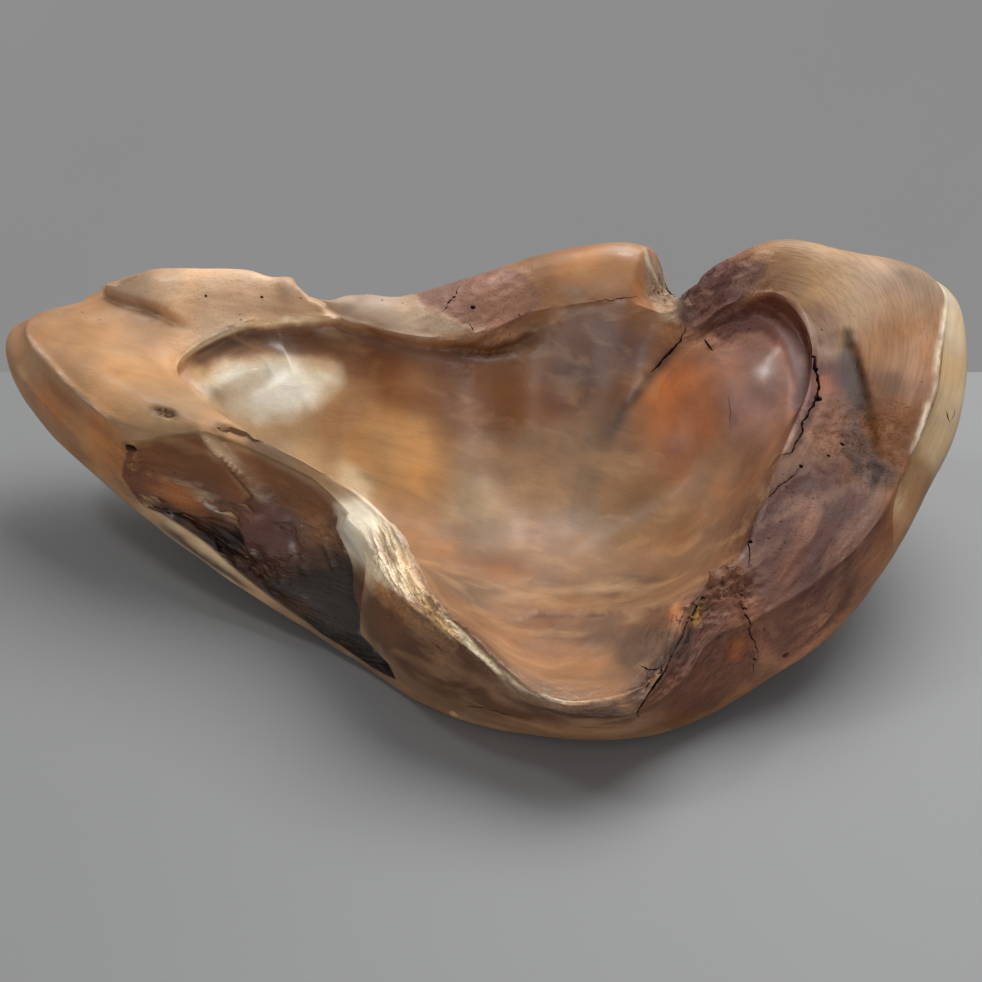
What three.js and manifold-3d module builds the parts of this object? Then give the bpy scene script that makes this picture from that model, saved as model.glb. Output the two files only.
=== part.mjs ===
// A bowl carved from one clump of teak roots that have grown against each other.
// The strands meet at old bark seams, so they come apart as separate pieces: they are cut here
// from one carved form along those seams, with pegs through the joints and filler in the seams.
//
// Frame: millimetres, +Z up, origin at the centre of the flat that the bowl stands on.
// Angles are in degrees about the origin, from +X (right end) through +Y (back).
// The solid nose is at -X, the thick rim at +X and the low front rim at -Y.
import * as THREE from "three";
import { mergeVertices } from "three/addons/utils/BufferGeometryUtils.js";
import Module from "manifold-3d";

const wasm = await Module();
wasm.setup();

// Driving dimensions.
const FOOT_HALF_WIDTH = 78; // the sanded flat underneath, along X
const FOOT_HALF_DEPTH = 62; // and along Y
const FLOOR_HEIGHT = 20; // top of the wood at the middle of the hollow
const JOINT_GAP = 0.3; // left between two pieces that meet
const COLUMN_STEP = 5; // degrees between two profiles round the bowl
const NOSE_STEP = 2.5; // and between them in the long nose
const NOSE = [140, 170]; // the angles that the nose lies between
const STEPS = { under: 4, side: 4, band: 4, hollow: 8 }; // rings in each stretch of a profile
const ROOM_SIDES = 12; // sides of a strand's section
const CRACK_SIDES = 6; // sides of a filled crack's section
const END_GROWTH = 0.4; // degrees that a strand's room gains at each end for each mm it grows

// The lip of the hollow: [angle, distance from the origin, height].
const INNER_RIM = [
  [0, 111, 82],
  [10, 123, 91],
  [20, 143, 101],
  [27, 155, 111],
  [34, 160, 119],
  [39, 154, 124],
  [43, 137, 121],
  [48, 124, 107],
  [56, 122, 111],
  [64, 112, 118],
  [78, 103, 116],
  [90, 99, 112],
  [103, 90, 108],
  [116, 93, 106],
  [127, 107, 108],
  [136, 136, 112],
  [144, 163, 110],
  [150, 180, 105],
  [156, 189, 98],
  [161, 178, 97],
  [167, 152, 97],
  [173, 127, 95],
  [180, 102, 92],
  [190, 83, 88],
  [204, 73, 85],
  [216, 72, 82],
  [230, 79, 75],
  [242, 84, 71],
  [254, 88, 62],
  [265, 98, 54],
  [275, 108, 49],
  [286, 111, 48],
  [296, 109, 49],
  [306, 100, 53],
  [318, 91, 59],
  [330, 95, 64],
  [342, 102, 70],
];

// The outer edge of the rim, where its top turns down into the side.
const OUTER_EDGE = [
  [0, 172, 88],
  [10, 192, 106],
  [18, 209, 124],
  [23, 218, 135],
  [31, 215, 136],
  [40, 192, 131],
  [49, 170, 122],
  [55, 160, 107],
  [58.5, 156, 101],
  [61, 152, 110],
  [63.5, 150, 127],
  [78, 138, 125],
  [92, 132, 118],
  [106, 129, 114],
  [118, 132, 110],
  [129, 146, 109],
  [137, 166, 110],
  [144, 208, 119],
  [149, 240, 118],
  [152, 258, 106],
  [157, 275, 104],
  [162, 257, 101],
  [167, 219, 95],
  [170.5, 192, 91],
  [172.5, 146, 91],
  [177, 116, 88],
  [186, 95, 85],
  [197, 88, 82],
  [212, 82, 77],
  [229, 88, 71],
  [243, 90, 66],
  [256, 94, 57],
  [267, 102, 47],
  [278, 111, 43],
  [292, 117, 43],
  [306, 112, 46],
  [318, 108, 51],
  [330, 122, 57],
  [341, 140, 66],
  [351, 158, 77],
];

// The turn of the underside, where the side curves in towards the foot.
const UNDER_TURN = [
  [0, 180, 62],
  [10, 205, 79],
  [20, 223, 98],
  [28, 227, 103],
  [40, 206, 88],
  [56, 162, 70],
  [80, 140, 58],
  [104, 134, 52],
  [126, 150, 54],
  [140, 196, 62],
  [150, 253, 76],
  [157, 283, 80],
  [162, 268, 67],
  [168, 216, 46],
  [175, 171, 33],
  [184, 132, 22],
  [196, 103, 14],
  [212, 88, 10],
  [232, 84, 8],
  [252, 84, 6],
  [272, 88, 5],
  [292, 98, 6],
  [312, 110, 9],
  [328, 123, 16],
  [342, 148, 32],
];

// How far the middle of the rim's top stands above a straight line across it.
const RIM_CROWN = [
  [0, 2],
  [20, 1],
  [29, 4],
  [36, 13],
  [44, 19],
  [51, 15],
  [57, 2],
  [61, 2],
  [64, 13],
  [90, 14],
  [112, 13],
  [126, 10],
  [133, 9],
  [140, 14],
  [148, 13],
  [153, 6],
  [160, 7],
  [168, 5],
  [175, 1],
  [210, 1],
  [260, 0],
  [300, 1],
  [340, 1],
];

// How far the side is hollowed in (or, below zero, swells out) between edge and turn.
const SIDE_HOLLOW = [
  [0, -4],
  [40, -4],
  [100, -5],
  [150, -3],
  [162, -1],
  [168, 0],
  [171, 3],
  [174, 15],
  [182, 17],
  [192, 15],
  [200, 11],
  [206, 4],
  [210, -4],
  [240, -6],
  [280, -3],
  [320, -2],
];

// How steeply the hollow's wall stands: the power of distance that its height follows.
const WALL_POWER = [
  [0, 3.2],
  [35, 3.6],
  [60, 3.4],
  [100, 3.4],
  [135, 4.2],
  [146, 4.8],
  [156, 4.2],
  [175, 2.8],
  [210, 2.8],
  [250, 2.2],
  [290, 1.7],
  [325, 2.2],
];

// Swellings of the hollow's surface: [x, y, z of the middle, radius, how far it rises].
const SWELLS = [
  [105, 68, 76, 30, 11], // the dome of the knot
];

const radians = (degrees) => (degrees * Math.PI) / 180;

// The angles of the profiles from one angle to another, closer together in the nose.
function columns(from, to) {
  const angles = [];
  let degrees = Math.ceil(from / COLUMN_STEP) * COLUMN_STEP;
  while (degrees < to) {
    angles.push(degrees);
    degrees += degrees >= NOSE[0] && degrees < NOSE[1] ? NOSE_STEP : COLUMN_STEP;
  }
  return angles;
}

// A smooth closed line through [angle, values...] rows: a cubic between rows, with each row's
// slope taken across its two neighbours.
function around(rows, column) {
  const count = rows.length;
  const at = (k) => rows[((k % count) + count) % count][0] + 360 * Math.floor(k / count);
  const value = (k) => rows[((k % count) + count) % count][column];
  const slope = (k) => (value(k + 1) - value(k - 1)) / (at(k + 1) - at(k - 1));
  return (degrees) => {
    const angle = ((degrees % 360) + 360) % 360;
    let k = count - 1;
    while (k > 0 && at(k) > angle) k -= 1;
    const start = at(k) > angle ? k - 1 : k;
    const span = at(start + 1) - at(start);
    const t = (angle - at(start)) / span;
    const t2 = t * t;
    const t3 = t2 * t;
    return (
      (2 * t3 - 3 * t2 + 1) * value(start) +
      (t3 - 2 * t2 + t) * span * slope(start) +
      (3 * t2 - 2 * t3) * value(start + 1) +
      (t3 - t2) * span * slope(start + 1)
    );
  };
}

const innerR = around(INNER_RIM, 1);
const innerZ = around(INNER_RIM, 2);
const edgeR = around(OUTER_EDGE, 1);
const edgeZ = around(OUTER_EDGE, 2);
const turnR = around(UNDER_TURN, 1);
const turnZ = around(UNDER_TURN, 2);
const crown = around(RIM_CROWN, 1);
const hollowed = around(SIDE_HOLLOW, 1);
const wallPower = around(WALL_POWER, 1);

function footR(degrees) {
  const c = Math.cos(radians(degrees)) / FOOT_HALF_WIDTH;
  const s = Math.sin(radians(degrees)) / FOOT_HALF_DEPTH;
  return 1 / Math.hypot(c, s);
}

// Height of the hollow's surface at a share (0 to 1) of the way from the middle to the lip: a
// power of the share, with each swelling's bell added.
function hollowZ(degrees, share) {
  const rise = innerZ(degrees) - FLOOR_HEIGHT;
  const height = FLOOR_HEIGHT + rise * Math.pow(share, wallPower(degrees));
  const point = place(degrees, innerR(degrees) * share, height);
  return SWELLS.reduce((sum, [x, y, z, radius, swell]) => {
    const away = point.distanceTo(new THREE.Vector3(x, y, z));
    return sum + swell * Math.exp(-((away / radius) ** 2));
  }, height);
}

const hermite = (p0, m0, p1, m1, t) => {
  const t2 = t * t;
  const t3 = t2 * t;
  return (
    (2 * t3 - 3 * t2 + 1) * p0 + (t3 - 2 * t2 + t) * m0 + (3 * t2 - 2 * t3) * p1 + (t3 - t2) * m1
  );
};

// The carved form cut through at one angle: [distance, height] from the foot's middle round
// the outside and over the rim to the middle of the hollow.
function profile(degrees) {
  const foot = [footR(degrees), 0];
  const turn = [turnR(degrees), turnZ(degrees)];
  const edge = [edgeR(degrees), edgeZ(degrees)];
  const lip = [innerR(degrees), innerZ(degrees)];
  const points = [];
  const turnSlope = [0.2 * (edge[0] - foot[0]), 0.5 * (edge[1] - foot[1])];
  for (let k = 0; k < STEPS.under; k += 1) {
    const t = k / STEPS.under;
    points.push([
      hermite(foot[0], turn[0] - foot[0], turn[0], turnSlope[0], t),
      Math.max(0, hermite(foot[1], 0, turn[1], turnSlope[1], t)),
    ]);
  }
  const rise = [edge[0] - turn[0], edge[1] - turn[1]];
  const reach = Math.hypot(rise[0], rise[1]);
  for (let k = 0; k < STEPS.side; k += 1) {
    const t = k / STEPS.side;
    const inward = hollowed(degrees) * Math.sin(Math.PI * t) ** 2;
    points.push([
      hermite(turn[0], turnSlope[0], edge[0], rise[0], t) - (inward * rise[1]) / reach,
      hermite(turn[1], turnSlope[1], edge[1], rise[1], t) + (inward * rise[0]) / reach,
    ]);
  }
  for (let k = 0; k < STEPS.band; k += 1) {
    const t = k / STEPS.band;
    const lift = 4 * t * (1 - t) * crown(degrees);
    points.push([
      edge[0] + (lip[0] - edge[0]) * t,
      edge[1] + (lip[1] - edge[1]) * t + lift,
    ]);
  }
  for (let k = 0; k < STEPS.hollow; k += 1) {
    const t = 1 - k / STEPS.hollow;
    const share = (1.9 * t) / (1 + 0.9 * t);
    points.push([lip[0] * share, hollowZ(degrees, share)]);
  }
  return points;
}

const place = (degrees, distance, height) =>
  new THREE.Vector3(
    distance * Math.cos(radians(degrees)),
    distance * Math.sin(radians(degrees)),
    height,
  );

// A manifold solid from points and triangles, turned the right way out.
function solidFrom(points, triangles) {
  const vertProperties = new Float32Array(points.length * 3);
  points.forEach((p, k) => p.toArray(vertProperties, 3 * k));
  const make = (triVerts) =>
    new wasm.Manifold(new wasm.Mesh({ numProp: 3, vertProperties, triVerts }));
  const solid = make(new Uint32Array(triangles.flat()));
  if (solid.volume() > 0) return solid;
  return make(new Uint32Array(triangles.map(([a, b, c]) => [a, c, b]).flat()));
}

// A solid swept through closed sections, each a list of the same number of points, with a cap
// on both ends.
function sweep(sections) {
  const sides = sections[0].length;
  const last = sections.length - 1;
  const points = sections.flat();
  const triangles = [];
  for (let i = 0; i < last; i += 1) {
    for (let j = 0; j < sides; j += 1) {
      const k = (j + 1) % sides;
      const [a, b] = [i * sides + j, i * sides + k];
      triangles.push([a, b, b + sides], [a, b + sides, a + sides]);
    }
  }
  for (const end of [0, last]) {
    const middle = new THREE.Vector3();
    sections[end].forEach((p) => middle.addScaledVector(p, 1 / sides));
    points.push(middle);
    for (let j = 0; j < sides; j += 1) {
      const [a, b] = [end * sides + j, end * sides + ((j + 1) % sides)];
      triangles.push(end === 0 ? [points.length - 1, b, a] : [points.length - 1, a, b]);
    }
  }
  return solidFrom(points, triangles);
}

// The whole carved form before it is parted: profiles joined round the bowl, with one point at
// the middle of the foot and one at the middle of the hollow.
function carvedForm() {
  const points = [new THREE.Vector3(0, 0, 0), new THREE.Vector3(0, 0, FLOOR_HEIGHT)];
  const triangles = [];
  const rings = profile(0).length;
  const angles = columns(0, 360);
  for (const degrees of angles) {
    points.push(...profile(degrees).map(([distance, height]) => place(degrees, distance, height)));
  }
  const at = (i, j) => 2 + (i % angles.length) * rings + j;
  for (let i = 0; i < angles.length; i += 1) {
    triangles.push([0, at(i + 1, 0), at(i, 0)]);
    triangles.push([1, at(i, rings - 1), at(i + 1, rings - 1)]);
    for (let j = 0; j < rings - 1; j += 1) {
      triangles.push([at(i, j), at(i + 1, j), at(i + 1, j + 1)]);
      triangles.push([at(i, j), at(i + 1, j + 1), at(i, j + 1)]);
    }
  }
  return solidFrom(points, triangles);
}

// A smooth run through a strand's rows, which doesn't close on itself: the row at one angle.
function along(rows, degrees) {
  let k = 0;
  while (k < rows.length - 2 && rows[k + 1][0] < degrees) k += 1;
  const [before, start, end, after] = [k - 1, k, k + 1, k + 2].map(
    (n) => rows[Math.min(Math.max(n, 0), rows.length - 1)],
  );
  const span = end[0] - start[0];
  const t = (degrees - start[0]) / span;
  const values = start.map((value, column) => {
    const startSlope = ((end[column] - before[column]) / (end[0] - before[0])) * span;
    const endSlope = ((after[column] - start[column]) / (after[0] - start[0])) * span;
    return hermite(value, startSlope, end[column], endSlope, t);
  });
  values[0] = degrees;
  return values;
}

// The room that one strand takes up: ellipses standing on the lines out from the origin. Each
// row is [angle, distance, height, half width, half height] of one ellipse.
function strandRoom(rows, grow = 0) {
  const [first, last] = [rows[0][0], rows[rows.length - 1][0]];
  const inside = columns(first + 1, last - 1);
  const sections = [];
  for (const degrees of [first - grow * END_GROWTH, ...inside, last + grow * END_GROWTH]) {
    const [, distance, height, halfWidth, halfHeight] = along(rows, degrees);
    const section = [];
    for (let j = 0; j < ROOM_SIDES; j += 1) {
      const turn = (2 * Math.PI * j) / ROOM_SIDES;
      section.push(
        place(
          degrees,
          distance + (halfWidth + grow) * Math.cos(turn),
          height + (halfHeight + grow) * Math.sin(turn),
        ),
      );
    }
    sections.push(section);
  }
  return sweep(sections);
}

// The room of a rounded mass that lies against a surface: an egg with two half sizes along the
// surface, one across it, and the way that the surface faces.
function eggRoom({ middle, facing, uphill, halfSizes }, grow = 0) {
  const across = new THREE.Vector3(...facing).normalize();
  const up = new THREE.Vector3(...uphill);
  up.addScaledVector(across, -up.dot(across)).normalize();
  const side = new THREE.Vector3().crossVectors(up, across);
  const egg = new THREE.SphereGeometry(1, 20, 12);
  egg.scale(...halfSizes.map((size) => size + grow));
  egg.applyMatrix4(new THREE.Matrix4().makeBasis(side, up, across).setPosition(...middle));
  return solidOf(egg);
}

// The room of a filled crack: a flat strip on edge, from just above the surface down into it,
// carried through points on the surface. It thins out towards both ends.
function crackRoom({ points, halfWidth, depth, into }, grow = 0) {
  const path = new THREE.CatmullRomCurve3(points.map((p) => new THREE.Vector3(...p)));
  const inward = new THREE.Vector3(...into).normalize();
  const steps = (points.length - 1) * 3;
  const sections = [];
  for (let i = 0; i <= steps; i += 1) {
    const share = i / steps;
    const middle = path.getPoint(share);
    const forward = path.getTangent(share);
    const side = new THREE.Vector3().crossVectors(forward, inward).normalize();
    const down = new THREE.Vector3().crossVectors(side, forward);
    const fullness = 0.35 + 0.65 * Math.sin(Math.PI * share);
    const section = [];
    for (let j = 0; j < CRACK_SIDES; j += 1) {
      const turn = (2 * Math.PI * j) / CRACK_SIDES;
      section.push(
        middle
          .clone()
          .addScaledVector(side, (halfWidth * fullness + grow) * Math.cos(turn))
          .addScaledVector(down, (depth * fullness + grow) * Math.sin(turn)),
      );
    }
    sections.push(section);
  }
  return sweep(sections);
}

// A manifold solid from a closed three.js geometry.
function solidOf(geometry) {
  const merged = geometry.clone();
  merged.deleteAttribute("normal");
  merged.deleteAttribute("uv");
  const welded = mergeVertices(merged, 1e-4);
  const position = welded.getAttribute("position");
  const points = [];
  for (let k = 0; k < position.count; k += 1) {
    points.push(new THREE.Vector3().fromBufferAttribute(position, k));
  }
  const index = welded.getIndex().array;
  const triangles = [];
  for (let k = 0; k < index.length; k += 3) {
    const [a, b, c] = [index[k], index[k + 1], index[k + 2]];
    if (a !== b && b !== c && c !== a) triangles.push([a, b, c]);
  }
  return solidFrom(points, triangles);
}

// The largest of the bodies that a cut leaves.
function largest(solid) {
  const bodies = solid.decompose();
  return bodies.reduce((best, body) => (body.volume() > best.volume() ? body : best));
}

// The wood that hasn't been given to a strand yet, and the pieces taken from it so far.
let wood = carvedForm();
const pieces = {};

// Gives the wood inside a room to the named piece, and leaves the joint gap round it.
function take(name, makeRoom) {
  pieces[name] = largest(wood.intersect(makeRoom(0)));
  wood = largest(wood.subtract(makeRoom(JOINT_GAP)));
}

// Dark resin and old bark packed into the open cracks, before the strands are parted.
const CRACKS = {
  knot_crack_filler: {
    points: [
      [104, 96, 123],
      [124, 90, 119],
      [137, 72, 111],
      [135, 50, 102],
      [126, 31, 93],
      [116, 17, 84],
    ],
    halfWidth: 1.5,
    depth: 8,
    into: [0.5, 0.2, -1],
  },
  notch_crack_filler: {
    points: [
      [80, 104, 112],
      [82, 92, 104],
      [70, 91, 90],
      [58, 90, 81],
      [45, 83, 70],
    ],
    halfWidth: 1.6,
    depth: 8,
    into: [0.2, 1, -0.6],
  },
  front_crack_filler: {
    points: [
      [91, -46, 65],
      [80, -55, 61],
      [70, -66, 57],
      [61, -81, 53],
      [52, -93, 50],
      [44, -105, 44],
    ],
    halfWidth: 1.6,
    depth: 8,
    into: [0.2, -0.2, -1],
  },
};
for (const [name, crack] of Object.entries(CRACKS)) {
  take(name, (grow) => crackRoom(crack, grow));
}

// The round knot in the right end of the hollow, a side root cut across by the carving.
const KNOT = {
  middle: [108, 64, 72],
  facing: [-0.34, -0.6, 0.73],
  uphill: [0.2, 0.5, 1],
  halfSizes: [45, 45, 32],
};
take("knot", (grow) => eggRoom(KNOT, grow));

// The small strand that lies across the front of the hollow, under the low rim.
const FRONT_PATCH = {
  middle: [30, -66, 37],
  facing: [-0.17, 0.26, 0.95],
  uphill: [0, 1, 0],
  halfSizes: [42, 37, 9],
};
take("front_patch", (grow) => eggRoom(FRONT_PATCH, grow));

// The pale sapwood left as a skin on the cut right end.
const SAPWOOD = [
  [-10, 178, 66, 10, 14],
  [-4, 186, 72, 20, 26],
  [4, 199, 82, 20, 32],
  [12, 217, 97, 20, 34],
  [20, 231, 113, 20, 34],
  [27, 238, 119, 18, 30],
  [32, 234, 120, 8, 14],
];
take("sapwood_end", (grow) => strandRoom(SAPWOOD, grow));

// The thick rough strand that makes the right rim, from the low front round to the back notch.
const RIGHT_LIMB = [
  [-70, 150, 30, 32, 40],
  [-60, 146, 34, 40, 46],
  [-50, 140, 38, 44, 46],
  [-40, 138, 44, 46, 46],
  [-29, 141, 50, 45, 44],
  [-18, 148, 58, 45, 44],
  [-9, 155, 70, 47, 44],
  [0, 160, 80, 48, 44],
  [10, 175, 92, 50, 44],
  [20, 194, 106, 50, 44],
  [28, 206, 114, 49, 42],
  [35, 205, 118, 44, 38],
  [42, 186, 120, 42, 34],
  [48, 168, 118, 38, 32],
  [54, 165, 118, 28, 26],
];
// The short wedge at the front end of that strand is a separate root, seamed across.
const FRONT_WEDGE_END = -31;
const wedgeRows = RIGHT_LIMB.filter((row) => row[0] < FRONT_WEDGE_END);
wedgeRows.push(along(RIGHT_LIMB, FRONT_WEDGE_END));
take("front_wedge", (grow) => strandRoom(wedgeRows, grow));
take("right_limb", (grow) => strandRoom(RIGHT_LIMB, grow));

// The strand along the back rim, from the notch to the fold beside the left lobe.
const BACK_STRAND = [
  [56, 158, 124, 22, 20],
  [62, 148, 122, 38, 30],
  [78, 140, 120, 42, 32],
  [90, 136, 116, 42, 32],
  [103, 132, 112, 46, 32],
  [116, 134, 110, 46, 30],
  [127, 144, 112, 42, 28],
  [134, 158, 116, 34, 24],
  [139, 172, 120, 22, 18],
];
take("back_strand", (grow) => strandRoom(BACK_STRAND, grow));

// The lobe that laps over the root of the nose at the back left.
const LEFT_LOBE = [
  [133, 160, 112, 20, 20],
  [139, 178, 116, 40, 30],
  [144, 200, 118, 46, 32],
  [149, 222, 120, 48, 31],
  [153, 236, 119, 38, 24],
  [156, 246, 120, 20, 16],
];
take("left_lobe", (grow) => strandRoom(LEFT_LOBE, grow));

// Old bark grown into the deep recess in the outside, left of the front.
const RECESS_BARK = [
  [168.5, 202, 64, 8, 10],
  [171, 186, 63, 22, 22],
  [173, 160, 64, 26, 29],
  [176, 138, 58, 28, 33],
  [180, 124, 54, 28, 34],
  [184, 112, 50, 29, 34],
  [188, 104, 45, 29, 31],
  [192, 97, 34, 28, 22],
  [196, 93, 25, 25, 15],
  [201, 88, 21, 22, 12],
  [208, 85, 18, 20, 11],
  [216, 83, 17, 17, 10],
  [224, 83, 17, 12, 8],
  [228, 84, 17, 5, 4],
];
take("recess_bark", (grow) => strandRoom(RECESS_BARK, grow));
// The bark has shrunk back from the surface and left a hollow, deepest near the front.
const RECESS_HOLLOW = [
  [169.5, 202, 64, 6, 10],
  [171, 192, 64, 15, 19],
  [173, 165, 65, 21, 27],
  [176, 142, 60, 23, 31],
  [180, 128, 56, 23, 32],
  [184, 116, 52, 24, 32],
  [188, 108, 47, 24, 29],
  [192, 101, 35, 23, 20],
  [196, 97, 25, 20, 13],
  [201, 92, 21, 18, 10],
  [208, 89, 18, 16, 9],
  [216, 87, 17, 13, 8],
  [223, 87, 17, 8, 6],
];
pieces.recess_bark = largest(pieces.recess_bark.subtract(strandRoom(RECESS_HOLLOW)));

// The root that runs under the nose and round below the front, down to the foot.
const UNDER_ROOT = [
  [159, 262, 62, 12, 10],
  [163, 240, 47, 26, 16],
  [168, 196, 25, 34, 16],
  [175, 150, 12, 36, 16],
  [184, 118, 4, 32, 18],
  [196, 88, 2, 28, 14],
  [212, 76, 0, 28, 15],
  [228, 74, 0, 28, 18],
  [245, 78, 0, 28, 22],
  [265, 86, 0, 28, 28],
  [281, 92, 0, 28, 32],
  [290, 94, 0, 28, 34],
  [300, 94, 0, 22, 22],
  [308, 94, 0, 12, 10],
];
take("under_root", (grow) => strandRoom(UNDER_ROOT, grow));
pieces.root_body = wood;

// Round wooden pegs hidden in the joints. Each row is the piece that it holds, the angle, the
// distance and height of its two ends, and its radius.
const PEGS = [
  ["right_limb", 4, [122, 44], [146, 72], 5],
  ["right_limb", -16, [108, 25], [133, 52], 5],
  ["back_strand", 95, [118, 66], [118, 102], 4],
  ["back_strand", 120, [122, 66], [122, 100], 4],
  ["left_lobe", 147, [198, 70], [198, 104], 4],
  ["under_root", 164.5, [212, 46], [212, 78], 4],
  ["under_root", 245, [80, 6], [80, 44], 4],
];
function pegRoom([, degrees, start, end, radius], grow = 0) {
  const [a, b] = [place(degrees, ...start), place(degrees, ...end)];
  const direction = b.clone().sub(a).normalize();
  const peg = new THREE.CylinderGeometry(radius + grow, radius + grow, a.distanceTo(b) + 2 * grow, 20);
  peg.applyQuaternion(
    new THREE.Quaternion().setFromUnitVectors(new THREE.Vector3(0, 1, 0), direction),
  );
  const middle = a.add(b).multiplyScalar(0.5);
  peg.translate(middle.x, middle.y, middle.z);
  return solidOf(peg);
}
PEGS.forEach((row, k) => {
  const hole = pegRoom(row, JOINT_GAP);
  for (const name of [row[0], "root_body"]) {
    pieces[name] = largest(pieces[name].subtract(hole));
  }
  pieces[`peg_${k + 1}`] = pegRoom(row);
});

// Each piece's colour and surface: [colour, roughness].
const FINISH = {
  root_body: [0x9a6b42, 0.42],
  right_limb: [0x6b4a3c, 0.6],
  front_wedge: [0x5f3b2e, 0.6],
  knot: [0x8e4f2b, 0.3],
  front_patch: [0x8a6a4e, 0.5],
  sapwood_end: [0xc9b48c, 0.5],
  back_strand: [0x8b6a4c, 0.5],
  left_lobe: [0x8f7355, 0.5],
  recess_bark: [0x4a2e22, 0.8],
  under_root: [0x8c5a35, 0.45],
  filler: [0x1e1410, 0.8],
  peg: [0xa8814f, 0.7],
};

function meshOf(name, solid) {
  const { vertProperties, triVerts } = solid.getMesh();
  const geometry = new THREE.BufferGeometry();
  geometry.setAttribute("position", new THREE.BufferAttribute(new Float32Array(vertProperties), 3));
  geometry.setIndex(new THREE.BufferAttribute(new Uint32Array(triVerts), 1));
  const kind = Object.keys(FINISH).find((key) => name.startsWith(key) || name.endsWith(key));
  const [color, roughness] = FINISH[kind];
  const mesh = new THREE.Mesh(
    geometry,
    new THREE.MeshStandardMaterial({ color, roughness, metalness: 0 }),
  );
  mesh.name = name;
  return mesh;
}

const bowl = new THREE.Group();
for (const [name, solid] of Object.entries(pieces)) bowl.add(meshOf(name, solid));
export default bowl;
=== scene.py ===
# Teak root bowl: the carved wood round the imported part.
# Lengths in the settings are millimetres in the part's frame (+Z up, nose at -X, low rim at -Y)
# and meshes are made in metres. A place with two numbers is a pixel of the 982 x 982 photo, cast
# onto the form from the camera; a place with three numbers is a point in the part's frame.
import functools
import itertools
import math

import bpy
import numpy as np
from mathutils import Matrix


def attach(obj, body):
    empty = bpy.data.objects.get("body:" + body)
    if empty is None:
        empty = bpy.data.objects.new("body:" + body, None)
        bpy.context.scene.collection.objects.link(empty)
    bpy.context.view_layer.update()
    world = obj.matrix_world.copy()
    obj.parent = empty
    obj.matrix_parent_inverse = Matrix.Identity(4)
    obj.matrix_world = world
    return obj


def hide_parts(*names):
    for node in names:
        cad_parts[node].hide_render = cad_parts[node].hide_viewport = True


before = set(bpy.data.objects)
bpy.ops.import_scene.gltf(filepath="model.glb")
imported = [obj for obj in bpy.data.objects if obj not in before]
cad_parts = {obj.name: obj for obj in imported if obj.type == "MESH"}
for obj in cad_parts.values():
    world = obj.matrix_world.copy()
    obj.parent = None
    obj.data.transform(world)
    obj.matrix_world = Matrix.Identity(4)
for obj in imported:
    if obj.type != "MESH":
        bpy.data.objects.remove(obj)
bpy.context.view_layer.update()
mm = 0.001
print("part loaded:", len(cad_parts), "nodes")


# Camera

photo = {
    "pixels": 982,
    "lens": 55.0,
    "sensor": 36.0,
    "place": (-18.2, -549.6, 505.5),
    "tilt": 38.0,  # degrees below level
}
tilt = math.radians(photo["tilt"])
ahead = np.array([0, math.cos(tilt), -math.sin(tilt)])
above = np.array([0, math.sin(tilt), math.cos(tilt)])
pixelScale = photo["lens"] / photo["sensor"] * photo["pixels"]


def addCamera(settings):
    data = bpy.data.cameras.new("photoCamera")
    data.lens = settings["lens"]
    data.sensor_width = settings["sensor"]
    data.clip_start = 0.01
    camera = bpy.data.objects.new("photoCamera", data)
    camera.location = [value * mm for value in settings["place"]]
    camera.rotation_euler = (math.radians(90 - settings["tilt"]), 0, 0)
    bpy.context.scene.collection.objects.link(camera)
    bpy.context.scene.camera = camera


def lineOfSight(pixel):
    across, down = ((value - photo["pixels"] / 2) / pixelScale for value in pixel)
    direction = ahead + np.array([across, 0, 0]) - down * above
    return direction / np.linalg.norm(direction)


def seenAt(points):
    # The pixels at which the camera sees the points.
    offset = points - photo["place"]
    flat = np.stack([offset[:, 0], -(offset @ above)], -1)
    return photo["pixels"] / 2 + pixelScale * flat / (offset @ ahead)[:, None]


# Noise

seedStep = 19.37  # how far apart the noises of two seeds lie, in cubes
noiseGain = 1.6  # brings the noise to about -1 to 1
mixer = np.random.default_rng(11)
shuffled = np.tile(mixer.permutation(256), 3)
slopes = mixer.normal(size=(256, 3))
slopes /= np.linalg.norm(slopes, axis=1, keepdims=True)


def smoothNoise(points, size, seed=0):
    # Gradient noise from about -1 to 1: a random slope at each corner of a cube of this size,
    # blended across the cube with a fifth-power curve.
    at = np.asarray(points, float) / size + seed * seedStep
    cell = np.floor(at).astype(int)
    part = at - cell
    blend = part**3 * (part * (part * 6 - 15) + 10)
    total = np.zeros(at.shape[:-1])
    for corner in itertools.product((0, 1), repeat=3):
        x, y, z = (cell[..., k] + corner[k] & 255 for k in range(3))
        slope = slopes[shuffled[shuffled[shuffled[x] + y] + z]]
        weight = np.prod(np.where(corner, blend, 1 - blend), axis=-1)
        total += weight * np.sum(slope * (part - corner), axis=-1)
    return total * noiseGain


def layeredNoise(points, size, layers=3, seed=0):
    # Each layer has half the size and half the height of the one before.
    return sum(smoothNoise(points, size / 2**k, seed + k) / 2**k for k in range(layers))


def ridgedNoise(points, size, layers=2, seed=0):
    # Sharp crests where plain noise crosses zero: from 0 in the troughs to 1 on a crest.
    crests = (1 - np.abs(smoothNoise(points, size / 2**k, seed + k)) * 2 for k in range(layers))
    return sum(crest / 2**k for k, crest in enumerate(crests)) / 1.5


def warped(points, reach, size, seed):
    # The points pushed about by noise, which breaks up the borders of what is painted there.
    return points + reach * np.stack([layeredNoise(points, size, 3, seed + k) for k in range(3)], -1)


# The carved form

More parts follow.
